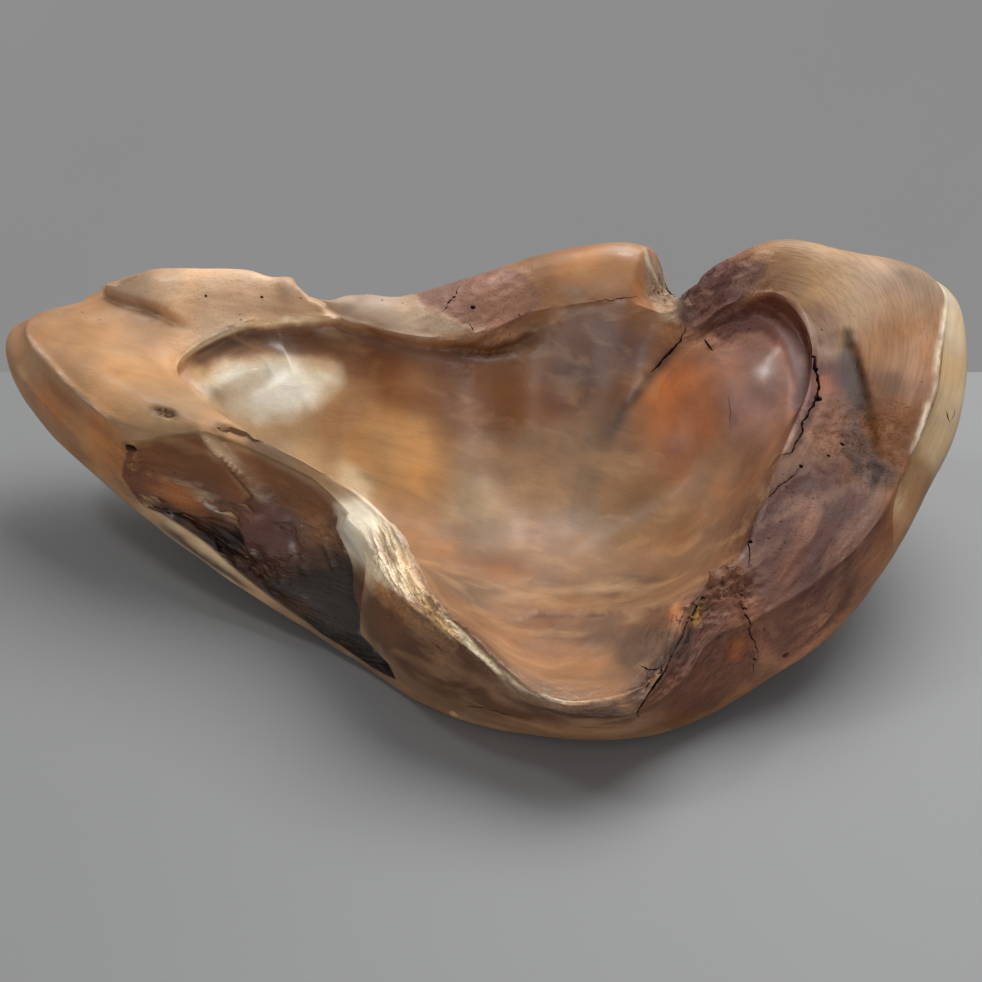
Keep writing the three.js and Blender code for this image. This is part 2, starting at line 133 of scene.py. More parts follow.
# The same rows round the bowl as the part's source: degrees, then distance and height, or degrees
# and one value.
form = {
    "footHalfWidth": 78,
    "footHalfDepth": 62,
    "floorHeight": 20,
    "innerRim": [
        [0, 111, 82], [10, 123, 91], [20, 143, 101], [27, 155, 111], [34, 160, 119], [39, 154, 124],
        [43, 137, 121], [48, 124, 107], [56, 122, 111], [64, 112, 118], [78, 103, 116], [90, 99, 112],
        [103, 90, 108], [116, 93, 106], [127, 107, 108], [136, 136, 112], [144, 163, 110],
        [150, 180, 105], [156, 189, 98], [161, 178, 97], [167, 152, 97], [173, 127, 95],
        [180, 102, 92], [190, 83, 88], [204, 73, 85], [216, 72, 82], [230, 79, 75], [242, 84, 71],
        [254, 88, 62], [265, 98, 54], [275, 108, 49], [286, 111, 48], [296, 109, 49],
        [306, 100, 53], [318, 91, 59], [330, 95, 64], [342, 102, 70],
    ],
    "outerEdge": [
        [0, 172, 88], [10, 192, 106], [18, 209, 124], [23, 218, 135], [31, 215, 136], [40, 192, 131],
        [49, 170, 122], [55, 160, 107], [58.5, 156, 101], [61, 152, 110], [63.5, 150, 127],
        [78, 138, 125], [92, 132, 118], [106, 129, 114], [118, 132, 110], [129, 146, 109],
        [137, 166, 110], [144, 208, 119], [149, 240, 118], [152, 258, 106], [157, 275, 104],
        [162, 257, 101], [167, 219, 95], [170.5, 192, 91], [172.5, 146, 91], [177, 116, 88],
        [186, 95, 85], [197, 88, 82], [212, 82, 77], [229, 88, 71], [243, 90, 66], [256, 94, 57],
        [267, 102, 47], [278, 111, 43], [292, 117, 43], [306, 112, 46], [318, 108, 51],
        [330, 122, 57], [341, 140, 66], [351, 158, 77],
    ],
    "underTurn": [
        [0, 180, 62], [10, 205, 79], [20, 223, 98], [28, 227, 103], [40, 206, 88], [56, 162, 70],
        [80, 140, 58], [104, 134, 52], [126, 150, 54], [140, 196, 62], [150, 253, 76],
        [157, 283, 80], [162, 268, 67], [168, 216, 46], [175, 171, 33], [184, 132, 22],
        [196, 103, 14], [212, 88, 10], [232, 84, 8], [252, 84, 6], [272, 88, 5], [292, 98, 6],
        [312, 110, 9], [328, 123, 16], [342, 148, 32],
    ],
    "rimCrown": [
        [0, 2], [20, 1], [29, 4], [36, 13], [44, 19], [51, 15], [57, 2], [61, 2], [64, 13], [90, 14],
        [112, 13], [126, 10], [133, 9], [140, 14], [148, 13], [153, 6], [160, 7], [168, 5],
        [175, 1], [210, 1], [260, 0], [300, 1], [340, 1],
    ],
    "sideHollow": [
        [0, -4], [40, -4], [100, -5], [150, -3], [162, -1], [168, 0], [171, 3], [174, 15], [182, 17],
        [192, 15], [200, 11], [206, 4], [210, -4], [240, -6], [280, -3], [320, -2],
    ],
    "wallPower": [
        [0, 3.2], [35, 3.6], [60, 3.4], [100, 3.4], [135, 4.2], [146, 4.8], [156, 4.2], [175, 2.8],
        [210, 2.8], [250, 2.2], [290, 1.7], [325, 2.2],
    ],
    "swells": [((105, 68, 76), 30, 11)],  # middle, radius, rise: the dome of the knot
    "turnSlope": (0.2, 0.5),  # how steeply the underside goes over into the side, outwards and up
    "wallEase": 0.9,  # draws the rings of the hollow together towards the lip
}


def hermite(p0, m0, p1, m1, t):
    # The cubic that leaves p0 with slope m0 and reaches p1 with slope m1.
    return (
        (2 * t**3 - 3 * t**2 + 1) * p0
        + (t**3 - 2 * t**2 + t) * m0
        + (3 * t**2 - 2 * t**3) * p1
        + (t**3 - t**2) * m1
    )


def roundValue(rows, column, degrees):
    # A cubic through the rows that closes on itself after 360 degrees.
    table = np.array(rows, float)
    turns = np.concatenate([table[-2:], table, table[:3]])
    angle = turns[:, 0] + np.repeat([-360, 0, 360], [2, len(table), 3])
    value = turns[:, column]
    slope = np.zeros_like(value)
    slope[1:-1] = (value[2:] - value[:-2]) / (angle[2:] - angle[:-2])
    wanted = np.asarray(degrees, float) % 360
    k = np.searchsorted(angle, wanted, side="right") - 1
    span = angle[k + 1] - angle[k]
    t = (wanted - angle[k]) / span
    return hermite(value[k], slope[k] * span, value[k + 1], slope[k + 1] * span, t)


def evenColumns(count):
    # Angles spaced so that the columns stand about equally far apart along the rim.
    fine = np.linspace(0, 360, 3601)
    reach = roundValue(form["outerEdge"], 1, fine)
    east, north = reach * np.cos(np.radians(fine)), reach * np.sin(np.radians(fine))
    length = np.concatenate([[0], np.cumsum(np.hypot(np.diff(east), np.diff(north)))])
    return np.interp(np.arange(count) / count * length[-1], length, fine)


def profileGrid(degrees, rings):
    # The form as a grid of points: one profile per angle, from the foot's edge round the outside,
    # over the rim and down towards the middle of the hollow.
    turn = np.radians(degrees)
    foot = 1 / np.hypot(np.cos(turn) / form["footHalfWidth"], np.sin(turn) / form["footHalfDepth"])
    turnR, turnZ = (roundValue(form["underTurn"], k, degrees) for k in (1, 2))
    edgeR, edgeZ = (roundValue(form["outerEdge"], k, degrees) for k in (1, 2))
    lipR, lipZ = (roundValue(form["innerRim"], k, degrees) for k in (1, 2))
    crown = roundValue(form["rimCrown"], 1, degrees)
    hollowed = roundValue(form["sideHollow"], 1, degrees)
    power = roundValue(form["wallPower"], 1, degrees)
    outwards, upwards = form["turnSlope"]
    slopeR, slopeZ = outwards * (edgeR - foot), upwards * edgeZ
    ease = form["wallEase"]
    riseR, riseZ = edgeR - turnR, edgeZ - turnZ
    reach = np.hypot(riseR, riseZ)
    distances, heights = [], []
    for t in np.arange(rings["under"]) / rings["under"]:
        distances.append(hermite(foot, turnR - foot, turnR, slopeR, t))
        heights.append(np.maximum(0, hermite(0, 0, turnZ, slopeZ, t)))
    for t in np.arange(rings["side"]) / rings["side"]:
        inward = hollowed * math.sin(math.pi * t) ** 2
        distances.append(hermite(turnR, slopeR, edgeR, riseR, t) - inward * riseZ / reach)
        heights.append(hermite(turnZ, slopeZ, edgeZ, riseZ, t) + inward * riseR / reach)
    for t in np.arange(rings["band"]) / rings["band"]:
        distances.append(edgeR + (lipR - edgeR) * t)
        heights.append(edgeZ + (lipZ - edgeZ) * t + 4 * t * (1 - t) * crown)
    for t in 1 - np.arange(rings["hollow"]) / rings["hollow"]:
        share = (1 + ease) * t / (1 + ease * t)
        height = form["floorHeight"] + (lipZ - form["floorHeight"]) * share**power
        point = np.stack([lipR * share * np.cos(turn), lipR * share * np.sin(turn), height], -1)
        for middle, radius, rise in form["swells"]:
            height = height + rise * np.exp(-np.sum(((point - middle) / radius) ** 2, -1))
        distances.append(lipR * share)
        heights.append(height)
    distance, height = np.array(distances).T, np.array(heights).T
    turn = turn[:, None]
    return np.stack([distance * np.cos(turn), distance * np.sin(turn), height], -1)


def softenCorners(grid, passes):
    # Each point moves to a quarter, half, quarter mean along its profile, which rounds the edges.
    for _ in range(passes):
        inner = 0.25 * grid[:, :-2] + 0.5 * grid[:, 1:-1] + 0.25 * grid[:, 2:]
        grid = np.concatenate([grid[:, :1], inner, grid[:, -1:]], axis=1)
    return grid


def gridNormals(grid):
    # The first direction of the grid closes on itself.
    sideways = np.roll(grid, -1, 0) - np.roll(grid, 1, 0)
    normal = np.cross(sideways, np.gradient(grid, axis=1))
    return normal / np.maximum(np.linalg.norm(normal, axis=-1, keepdims=True), 1e-9)


def closeGrid(grid, start, end):
    # Faces of a grid that closes on itself, with a fan from a point at each end of its profiles.
    columns, rings = grid.shape[:2]
    points = np.concatenate([grid.reshape(-1, 3), [start, end]])
    i = np.arange(columns)[:, None]
    j = np.arange(rings - 1)[None]
    here, beside = i * rings + j, (i + 1) % columns * rings + j
    quads = np.stack([here, beside, beside + 1, here + 1], -1).reshape(-1, 4)
    here, beside = here[:, 0], beside[:, 0]
    startFan = np.stack([np.full(columns, columns * rings), beside, here], -1)
    here, beside = here + rings - 1, beside + rings - 1
    endFan = np.stack([np.full(columns, columns * rings + 1), here, beside], -1)
    return points, quads, np.concatenate([startFan, endFan])


# Places read from the photo

castRings = {"under": 14, "side": 20, "band": 20, "hollow": 60}
castGrid = profileGrid(evenColumns(320), castRings)
castNormals = gridNormals(castGrid)


def castOnto(grid, normals, pixel, farthest=False):
    # The nearest (or farthest) point of a grid on the pixel's line of sight, and its normal.
    start, direction = np.array(photo["place"]), lineOfSight(pixel)
    beside = np.roll(grid, -1, 0)
    best, found = -np.inf, None
    halves = ((grid[:, :-1], beside[:, :-1], beside[:, 1:]), (grid[:, :-1], beside[:, 1:], grid[:, 1:]))
    for corners in halves:
        edge1, edge2 = corners[1] - corners[0], corners[2] - corners[0]
        cross = np.cross(direction, edge2)
        size = np.sum(edge1 * cross, -1)
        size = np.where(np.abs(size) < 1e-12, 1e-12, size)
        offset = start - corners[0]
        u = np.sum(offset * cross, -1) / size
        twist = np.cross(offset, edge1)
        v = twist @ direction / size
        away = np.sum(edge2 * twist, -1) / size
        hit = (u >= -1e-6) & (v >= -1e-6) & (u + v <= 1 + 1e-6) & (away > 0)
        rank = np.where(hit, away if farthest else -away, -np.inf)
        i, j = np.unravel_index(np.argmax(rank), rank.shape)
        if rank[i, j] > best:
            best = rank[i, j]
            found = start + direction * away[i, j], normals[i, j]
    if found is None:
        # Just outside the outline: the point that lies nearest to the line of sight.
        offset = grid.reshape(-1, 3) - start
        gap = np.linalg.norm(offset - (offset @ direction)[:, None] * direction, axis=1)
        nearest = np.argmin(gap)
        found = grid.reshape(-1, 3)[nearest], normals.reshape(-1, 3)[nearest]
    return found


@functools.cache
def spot(place):
    # A place as a point and the form's normal there.
    if len(place) == 2:
        return castOnto(castGrid, castNormals, place)
    nearest = np.argmin(np.sum((castGrid.reshape(-1, 3) - place) ** 2, -1))
    return np.array(place, float), castNormals.reshape(-1, 3)[nearest]


def evenPath(points, step):
    # Points at even steps along a line through the given points.
    points = np.array(points)
    length = np.concatenate([[0], np.cumsum(np.linalg.norm(np.diff(points, axis=0), axis=1))])
    wanted = np.linspace(0, length[-1], max(3, int(length[-1] / step) + 1))
    return np.stack([np.interp(wanted, length, points[:, k]) for k in range(3)], -1)


@functools.cache
def line(places, step=3):
    return evenPath([spot(place)[0] for place in places], step)


def nearLine(points, path, reach):
    # For each point: its distance from the path, how far along it (0 to 1), and the offset.
    distance = np.full(len(points), np.inf)
    share = np.zeros(len(points))
    offset = np.zeros((len(points), 3))
    forward = np.zeros((len(points), 3))
    close = np.all((points > path.min(0) - reach) & (points < path.max(0) + reach), axis=1)
    chosen = np.flatnonzero(close)
    for k in range(len(path) - 1):
        run = path[k + 1] - path[k]
        relative = points[chosen] - path[k]
        t = np.clip(relative @ run / max(run @ run, 1e-9), 0, 1)
        gap = relative - t[:, None] * run
        length = np.linalg.norm(gap, axis=1)
        nearer = length < distance[chosen]
        picked = chosen[nearer]
        distance[picked] = length[nearer]
        share[picked] = (k + t[nearer]) / (len(path) - 1)
        offset[picked] = gap[nearer]
        forward[picked] = run / np.linalg.norm(run)
    return np.minimum(distance, 999), share, offset, forward


nearOutline = {"beyond": 10, "off": 20}  # how far past the outline and off its plane a point may lie


def insideOutline(points, corners, softness):
    # How far the camera sees each point inside the outline, from 0 outside it to 1; only for
    # points that lie near the outline's own plane, not for those behind it.
    surface = np.array([spot(corner)[0] for corner in corners])
    middle = surface.mean(0)
    reach = np.linalg.norm(surface - middle, axis=1).max() + nearOutline["beyond"]
    across = np.linalg.svd(surface - middle)[2][2]
    offset = points - middle
    near = np.linalg.norm(offset, axis=1) < reach
    chosen = np.flatnonzero(near & (np.abs(offset @ across) < nearOutline["off"]))
    seen = seenAt(points[chosen])
    away, inside = np.full(len(chosen), np.inf), np.zeros(len(chosen), bool)
    corners = np.array(corners, float)
    for start, end in zip(corners, np.roll(corners, -1, 0)):
        run = end - start
        t = np.clip((seen - start) @ run / (run @ run), 0, 1)
        away = np.minimum(away, np.linalg.norm(seen - start - t[:, None] * run, axis=1))
        crossed = (start[1] > seen[:, 1]) != (end[1] > seen[:, 1])
        level = (seen[:, 1] - start[1]) / np.where(run[1] == 0, 1e-9, run[1])
        inside ^= crossed & (seen[:, 0] < start[0] + level * run[0])
    cover = np.zeros(len(points))
    depth = np.where(inside, away, -away)
    cover[chosen] = np.clip(depth / softness + 0.5, 0, 1)
    return cover


# Carving that the plain form doesn't have

# Photo places that more than one table uses.
facetCorners = (
    (206, 435), (235, 446), (266, 460), (307, 480), (325, 495), (343, 513), (338, 524), (300, 524),
    (272, 514), (255, 495), (235, 475), (216, 452),
)
recessTopCorners = (
    (136, 447), (160, 440), (185, 437), (199, 434), (212, 452), (232, 476), (250, 498), (240, 506),
    (200, 486), (150, 476), (134, 472),
)
spurPath = ((201, 429), (214, 448), (235, 473), (255, 492), (272, 509))

carving = {
    # from and to degrees, distance below the inner lip, half width, height (below 0 is a groove)
    "lips": [
        (141, 166, -0.8, 1.9, 1.3),
        (143, 163, 6.0, 4.0, -3.6),
        (143, 163, 22.0, 8.0, 3.0),
        (66, 141, -0.6, 1.2, 0.8),
        (84, 139, 5.5, 3.2, -2.6),
        (20, 48, -0.8, 1.6, 1.2),
        (16, 49, 7.5, 4.8, -5.5),
        (186, 246, -0.6, 1.3, 1.0),
        (246, 304, -0.5, 1.0, 0.8),
        (248, 300, 6.0, 3.5, -0.8),
    ],
    # path, half width, height
    "ridges": [
        (((112, 274), (106, 286), (106, 294), (118, 301), (140, 306), (165, 314), (184, 328)),
         2.6, -2.6),
        (((459, 353), (489, 355), (517, 350), (536, 336)), 3.0, -4.5),
        (((400, 341), (447, 344), (490, 343), (525, 330)), 3.0, 1.0),
        (((651, 374), (640, 385), (624, 409)), 6, -1.0),
        (((735, 570), (741, 584), (745, 615), (754, 652), (751, 673)), 2.0, 1.8),
        (((717, 574), (711, 591), (695, 602), (688, 620), (677, 648), (660, 675), (641, 698)), 2.5, 2.2),
        (spurPath, 4.0, 3.8),
        (((291, 451), (332, 480), (354, 497), (374, 514)), 3.0, 1.4),
        (((23, 320), (41, 352), (59, 374), (82, 396), (99, 410), (123, 424)), 1.6, 0.9),
        (((16, 369), (36, 393), (58, 415), (80, 437), (93, 465)), 2.0, 1.0),
        (((153, 409), (165, 412), (173, 415)), 1.8, -2.2),
        (((217, 426), (238, 433), (258, 441)), 2.4, -2.8),
        (((943, 288), (946, 310), (939, 347), (934, 388), (926, 415), (912, 455)), 1.4, 0.9),
        (((809, 470), (790, 482), (775, 496), (759, 515), (751, 535)), 2.0, 1.2),
        (((845, 606), (822, 632), (789, 657)), 2.5, -1.6),
        (((645, 247), (650, 268), (662, 290), (676, 322)), 1.4, 1.2),
        (((205, 575), (260, 612), (310, 648), (350, 672)), 2.0, 0.8),
    ],
    # path, height of the side on its right, width of the slope, how far the step fades out
    "steps": [
        (((184, 328), (165, 314), (140, 306), (118, 301), (106, 294), (108, 282), (116, 272)),
         4.0, 2.0, 15),
        (((345, 327), (330, 314), (315, 299), (292, 281)), -3.4, 1.4, 13),
        (((472, 622), (536, 613), (600, 611), (646, 606), (676, 604)), -1.0, 1.8, 11),
        (((848, 327), (863, 376), (875, 425), (882, 464)), -3.2, 1.6, 12),
        (((717, 572), (711, 591), (695, 602), (689, 618), (677, 646), (660, 675), (638, 704)),
         -2.6, 1.2, 9),
        (((415, 292), (420, 305), (442, 312), (459, 322), (484, 335), (514, 327), (536, 315)),
         0.9, 0.8, 8),
    ],
    # place, radius, height
    "lumps": [
        ((364, 291), 11, 2.6),
        ((345, 290), 6, 1.6),
        ((291, 280), 6, 2.6),
        ((245, 283), 14, 1.6),
        ((750, 388), 28, 8.0),
        ((285, 415), 24, 6.0),
        ((225, 372), 14, 2.0),
        ((770, 262), 30, 1.5),
        ((700, 300), 15, -2.0),
        ((850, 425), 12, -2.2),
        ((390, 555), 15, 1.6),
        ((405, 330), 18, 1.0),
        ((735, 573), 6, 3.0),
        ((714, 578), 5, 2.5),
        ((660, 640), 20, -1.0),
        ((905, 400), 18, 1.5),
    ],
    # place, the way the fibres run, radius, height, width of the fibres, stretch along them
    "roughPatches": [
        ((715, 290), (760, 270), 32, 1.7, 5, 1.8),
        ((480, 299), (530, 285), 36, 0.8, 5, 1.8),
        ((664, 296), (680, 330), 17, 2.4, 3.6, 3.5),
        ((715, 640), (750, 590), 34, 1.0, 6, 1.6),
        ((728, 582), (712, 600), 13, 2.4, 5, 1.0),
        ((694, 610), (670, 650), 11, 2.0, 4, 1.4),
        ((662, 672), (640, 700), 12, 1.6, 4, 1.4),
        ((790, 545), (835, 490), 50, 0.6, 4.5, 5.0),
        ((818, 628), (845, 600), 18, 1.2, 5, 2.0),
        ((858, 440), (850, 400), 26, 1.4, 5, 2.2),
        ((826, 420), (822, 380), 15, 0.9, 5, 1.5),
        ((404, 572), (384, 528), 26, 2.6, 3.4, 6.0),
        ((450, 625), (430, 595), 16, 1.6, 3.4, 3.0),
        ((500, 665), (470, 640), 14, 1.4, 3.6, 2.0),
        ((555, 697), (520, 684), 18, 1.0, 3.6, 2.0),
        ((620, 698), (590, 700), 16, 0.7, 3.6, 2.0),
        ((450, 670), (400, 640), 34, 0.35, 8, 3.0),
        ((225, 300), (290, 300), 40, 0.45, 9, 2.2),
        ((560, 640), (500, 640), 40, 0.3, 9, 2.0),
    ],
    # corners of the outline, softness of its border in pixels, depth
    "dents": [
        (facetCorners, 9, 5.0),
        (recessTopCorners, 9, 4.0),
    ],
    "undulation": [(70, 1.2), (26, 0.5), (11, 0.14)],  # size and height of the carver's hollows
    "stepJitter": {"reach": 1.2, "size": 7},  # how unevenly the steps run
}

# Where the flutes are evened out: degrees of the middle and of half the stretch, degrees over which
# it fades out, millimetres below the lip where it is full, and the share of the columns, as one in
# this many, that is blended on each side.
flutes = {"middle": 5, "halfSpan": 80, "fade": 25, "depth": 25, "columns": 40}


def lipCarving(grid, degrees, rings):
    # Beads and grooves that follow the inner lip, fading in and out over a few degrees.
    lip = rings["under"] + rings["side"] + rings["band"]
    length = np.cumsum(np.linalg.norm(np.diff(grid, axis=1), axis=-1), axis=1)
    below = np.concatenate([np.zeros((len(grid), 1)), length], axis=1)
    below -= below[:, lip : lip + 1]
    below += 0.8 * smoothNoise(grid[:, lip], 16, seed=6)[:, None]
    moved = np.zeros(grid.shape[:2])
    for start, end, at, width, height in carving["lips"]:
        fade = np.clip((degrees - start) / 4, 0, 1) * np.clip((end - degrees) / 4, 0, 1)
        moved += height * fade[:, None] * np.exp(-(((below - at) / width) ** 2))
    return moved.ravel()


def easeFlutes(grid, degrees, rings):
    # Evens out the flutes that the rows leave in the right half of the hollow, below the lip.
    lip = rings["under"] + rings["side"] + rings["band"]
    length = np.cumsum(np.linalg.norm(np.diff(grid[:, lip:], axis=1), axis=-1), axis=1)
    deep = np.clip(length / flutes["depth"], 0, 1)[..., None]
    turned = (degrees - flutes["middle"] + 180) % 360 - 180
    right = np.clip((flutes["halfSpan"] - np.abs(turned)) / flutes["fade"], 0, 1)[:, None, None]
    reach = len(grid) // flutes["columns"]
    weights = np.hanning(2 * reach + 1)
    hollow = grid[:, lip + 1 :]
    shifts = range(-reach, reach + 1)
    even = sum(np.roll(hollow, k, 0) * weight for k, weight in zip(shifts, weights)) / weights.sum()
    eased = grid.copy()
    eased[:, lip + 1 :] += (even - hollow) * deep * right
    return eased


def carve(grid, degrees, rings):
    # Moves the grid's points along their normals by the sum of all the carving there.
    points, facing = grid.reshape(-1, 3), gridNormals(grid).reshape(-1, 3)
    moved = lipCarving(grid, degrees, rings)
    for size, height in carving["undulation"]:
        moved += height * smoothNoise(points, size, seed=size)
    for path, width, height in carving["ridges"]:
        distance, share, _, _ = nearLine(points, line(path), 4 * width)
        fade = np.clip(np.minimum(share, 1 - share) * 6 + 0.25, 0, 1)
        moved += height * fade * np.exp(-((distance / width) ** 2))
    uneven = carving["stepJitter"]
    jitter = uneven["reach"] * layeredNoise(points, uneven["size"], 2, seed=8)
    for path, height, width, reach in carving["steps"]:
        distance, share, offset, forward = nearLine(points, line(path), 3 * reach)
        side = np.sum(offset * np.cross(forward, facing), -1) + jitter
        raised = 1 / (1 + np.exp(-np.clip(side / width * 3, -30, 30)))
        fade = np.clip(np.minimum(share, 1 - share) * 8, 0, 1)
        moved += height * raised * fade * np.exp(-((distance / reach) ** 2))
    for place, radius, height in carving["lumps"]:
        away = np.linalg.norm(points - spot(place)[0], axis=1)
        moved += height * np.exp(-((away / radius) ** 2))
    for corners, softness, depth in carving["dents"]:
        moved -= depth * insideOutline(points, corners, softness)
    for place, towards, radius, height, size, stretch in carving["roughPatches"]:
        middle = spot(place)[0]
        away = np.linalg.norm(points - middle, axis=1)
        near = away < 1.6 * radius
        grain = spot(towards)[0] - middle
        grain /= np.linalg.norm(grain)
        along = (points[near] @ grain)[:, None] * grain
        rough = ridgedNoise(points[near] - along * (1 - 1 / stretch), size, 3, seed=radius)
        moved[near] += height * (rough - 0.5) * np.exp(-((away[near] / radius) ** 4))
    return grid + (moved[:, None] * facing).reshape(grid.shape)


fullRings = {"under": 26, "side": 50, "band": 46, "hollow": 128}
masterRings = fullRings
masterDegrees = evenColumns(860)
masterGrid = softenCorners(profileGrid(masterDegrees, masterRings), 1)
masterGrid = easeFlutes(masterGrid, masterDegrees, masterRings)
masterGrid = carve(masterGrid, masterDegrees, masterRings)
masterGrid[..., 2] = np.maximum(masterGrid[..., 2], 0)
masterNormals = gridNormals(masterGrid)
print("form carved:", masterGrid.shape[0] * masterGrid.shape[1], "points")


def ontoWood(points):
    # Each point moved onto the carved surface, and the surface's normal there.
    sample = masterGrid[::2, ::2].reshape(-1, 3)
    facing = masterNormals[::2, ::2].reshape(-1, 3)
    nearest = [np.argmin(np.sum((sample - point) ** 2, -1)) for point in points]
    facing = facing[nearest]
    lift = np.sum((points - sample[nearest]) * facing, -1, keepdims=True)
    return points - lift * facing, facing


# Meshes and cuts


def meshFrom(name, points, *faceSets):
    # One mesh from points in millimetres and arrays of faces, each with its own corner count.
    mesh = bpy.data.meshes.new(name)
    mesh.vertices.add(len(points))
    mesh.vertices.foreach_set("co", (np.asarray(points) * mm).astype(np.float32).ravel())
    corners = np.concatenate([faces.ravel() for faces in faceSets])
    totals = np.concatenate([np.full(len(faces), faces.shape[1]) for faces in faceSets])
    mesh.loops.add(len(corners))
    mesh.loops.foreach_set("vertex_index", corners.astype(np.int32))
    mesh.polygons.add(len(totals))
    starts = np.concatenate([[0], np.cumsum(totals)[:-1]])
    mesh.polygons.foreach_set("loop_start", starts.astype(np.int32))
    mesh.update(calc_edges=True)
    thing = bpy.data.objects.new(name, mesh)
    bpy.context.scene.collection.objects.link(thing)
    return thing


def pointsOf(thing):
    flat = np.empty(len(thing.data.vertices) * 3, np.float32)
    thing.data.vertices.foreach_get("co", flat)
    return flat.reshape(-1, 3).astype(float) / mm


def volumeOf(points, faces):
    a, b, c = points[faces[:, 0]], points[faces[:, 1]], points[faces[:, 2]]
    return np.sum(a * np.cross(b, c)) / 6


def sweepMesh(name, sections):
    # A closed solid through a list of sections, each an array of the same number of points.
    sections = np.array(sections)
    count, sides = sections.shape[:2]
    points = np.concatenate([sections.reshape(-1, 3), [sections[0].mean(0), sections[-1].mean(0)]])
    i, j = np.arange(count - 1)[:, None], np.arange(sides)[None]
    here, beside = i * sides + j, i * sides + (j + 1) % sides
    lower = np.stack([here, beside, beside + sides], -1).reshape(-1, 3)
    upper = np.stack([here, beside + sides, here + sides], -1).reshape(-1, 3)
    j = j[0]
    last = (count - 1) * sides
    startCap = np.stack([np.full(sides, count * sides), (j + 1) % sides, j], -1)
    endCap = np.stack([np.full(sides, count * sides + 1), last + j, last + (j + 1) % sides], -1)
    faces = np.concatenate([lower, upper, startCap, endCap])
    if volumeOf(points, faces) < 0:
        faces = faces[:, ::-1]
    return meshFrom(name, points, faces)


def discard(thing):
    mesh = thing.data
    bpy.data.objects.remove(thing)
    bpy.data.meshes.remove(mesh)


def combined(thing, tool, operation, name):
    # A new piece from one Boolean of thing and tool.
    step = thing.modifiers.new("cut", "BOOLEAN")
    step.operation = operation
    step.solver = "MANIFOLD"
    step.object = tool
    depsgraph = bpy.context.evaluated_depsgraph_get()
    mesh = bpy.data.meshes.new_from_object(thing.evaluated_get(depsgraph))
    thing.modifiers.remove(step)
    result = bpy.data.objects.new(name, mesh)
    bpy.context.scene.collection.objects.link(result)
    return result


def keepLargest(thing):
    # Drops the slivers that a cut leaves: every vertex takes the lowest number that it touches,
    # until each body has one number, and only the body with the most vertices stays.
    mesh = thing.data
    ends = np.empty(len(mesh.edges) * 2, np.int32)
    mesh.edges.foreach_get("vertices", ends)
    a, b = ends.reshape(-1, 2).T
    body = np.arange(len(mesh.vertices))
    while True:
        low = np.minimum(body[a], body[b])
        lower = body.copy()
        np.minimum.at(lower, a, low)
        np.minimum.at(lower, b, low)
        lower = lower[lower]
        if np.array_equal(lower, body):
            break
        body = lower
    keep = body == np.bincount(body).argmax()
    if keep.all():
        return thing
    totals = np.empty(len(mesh.polygons), np.int32)
    mesh.polygons.foreach_get("loop_total", totals)
    corners = np.empty(len(mesh.loops), np.int32)
    mesh.loops.foreach_get("vertex_index", corners)
    firsts = np.concatenate([[0], np.cumsum(totals)[:-1]])
    kept = keep[corners[firsts]]
    renumber = np.cumsum(keep) - 1
    faceSets = []
    for total in np.unique(totals[kept]):
        chosen = firsts[kept & (totals == total)]
        faceSets.append(renumber[corners[chosen[:, None] + np.arange(total)]])
    name = thing.name
    points = pointsOf(thing)[keep]
    discard(thing)
    return meshFrom(name, points, *faceSets)


# Rooms of the strands

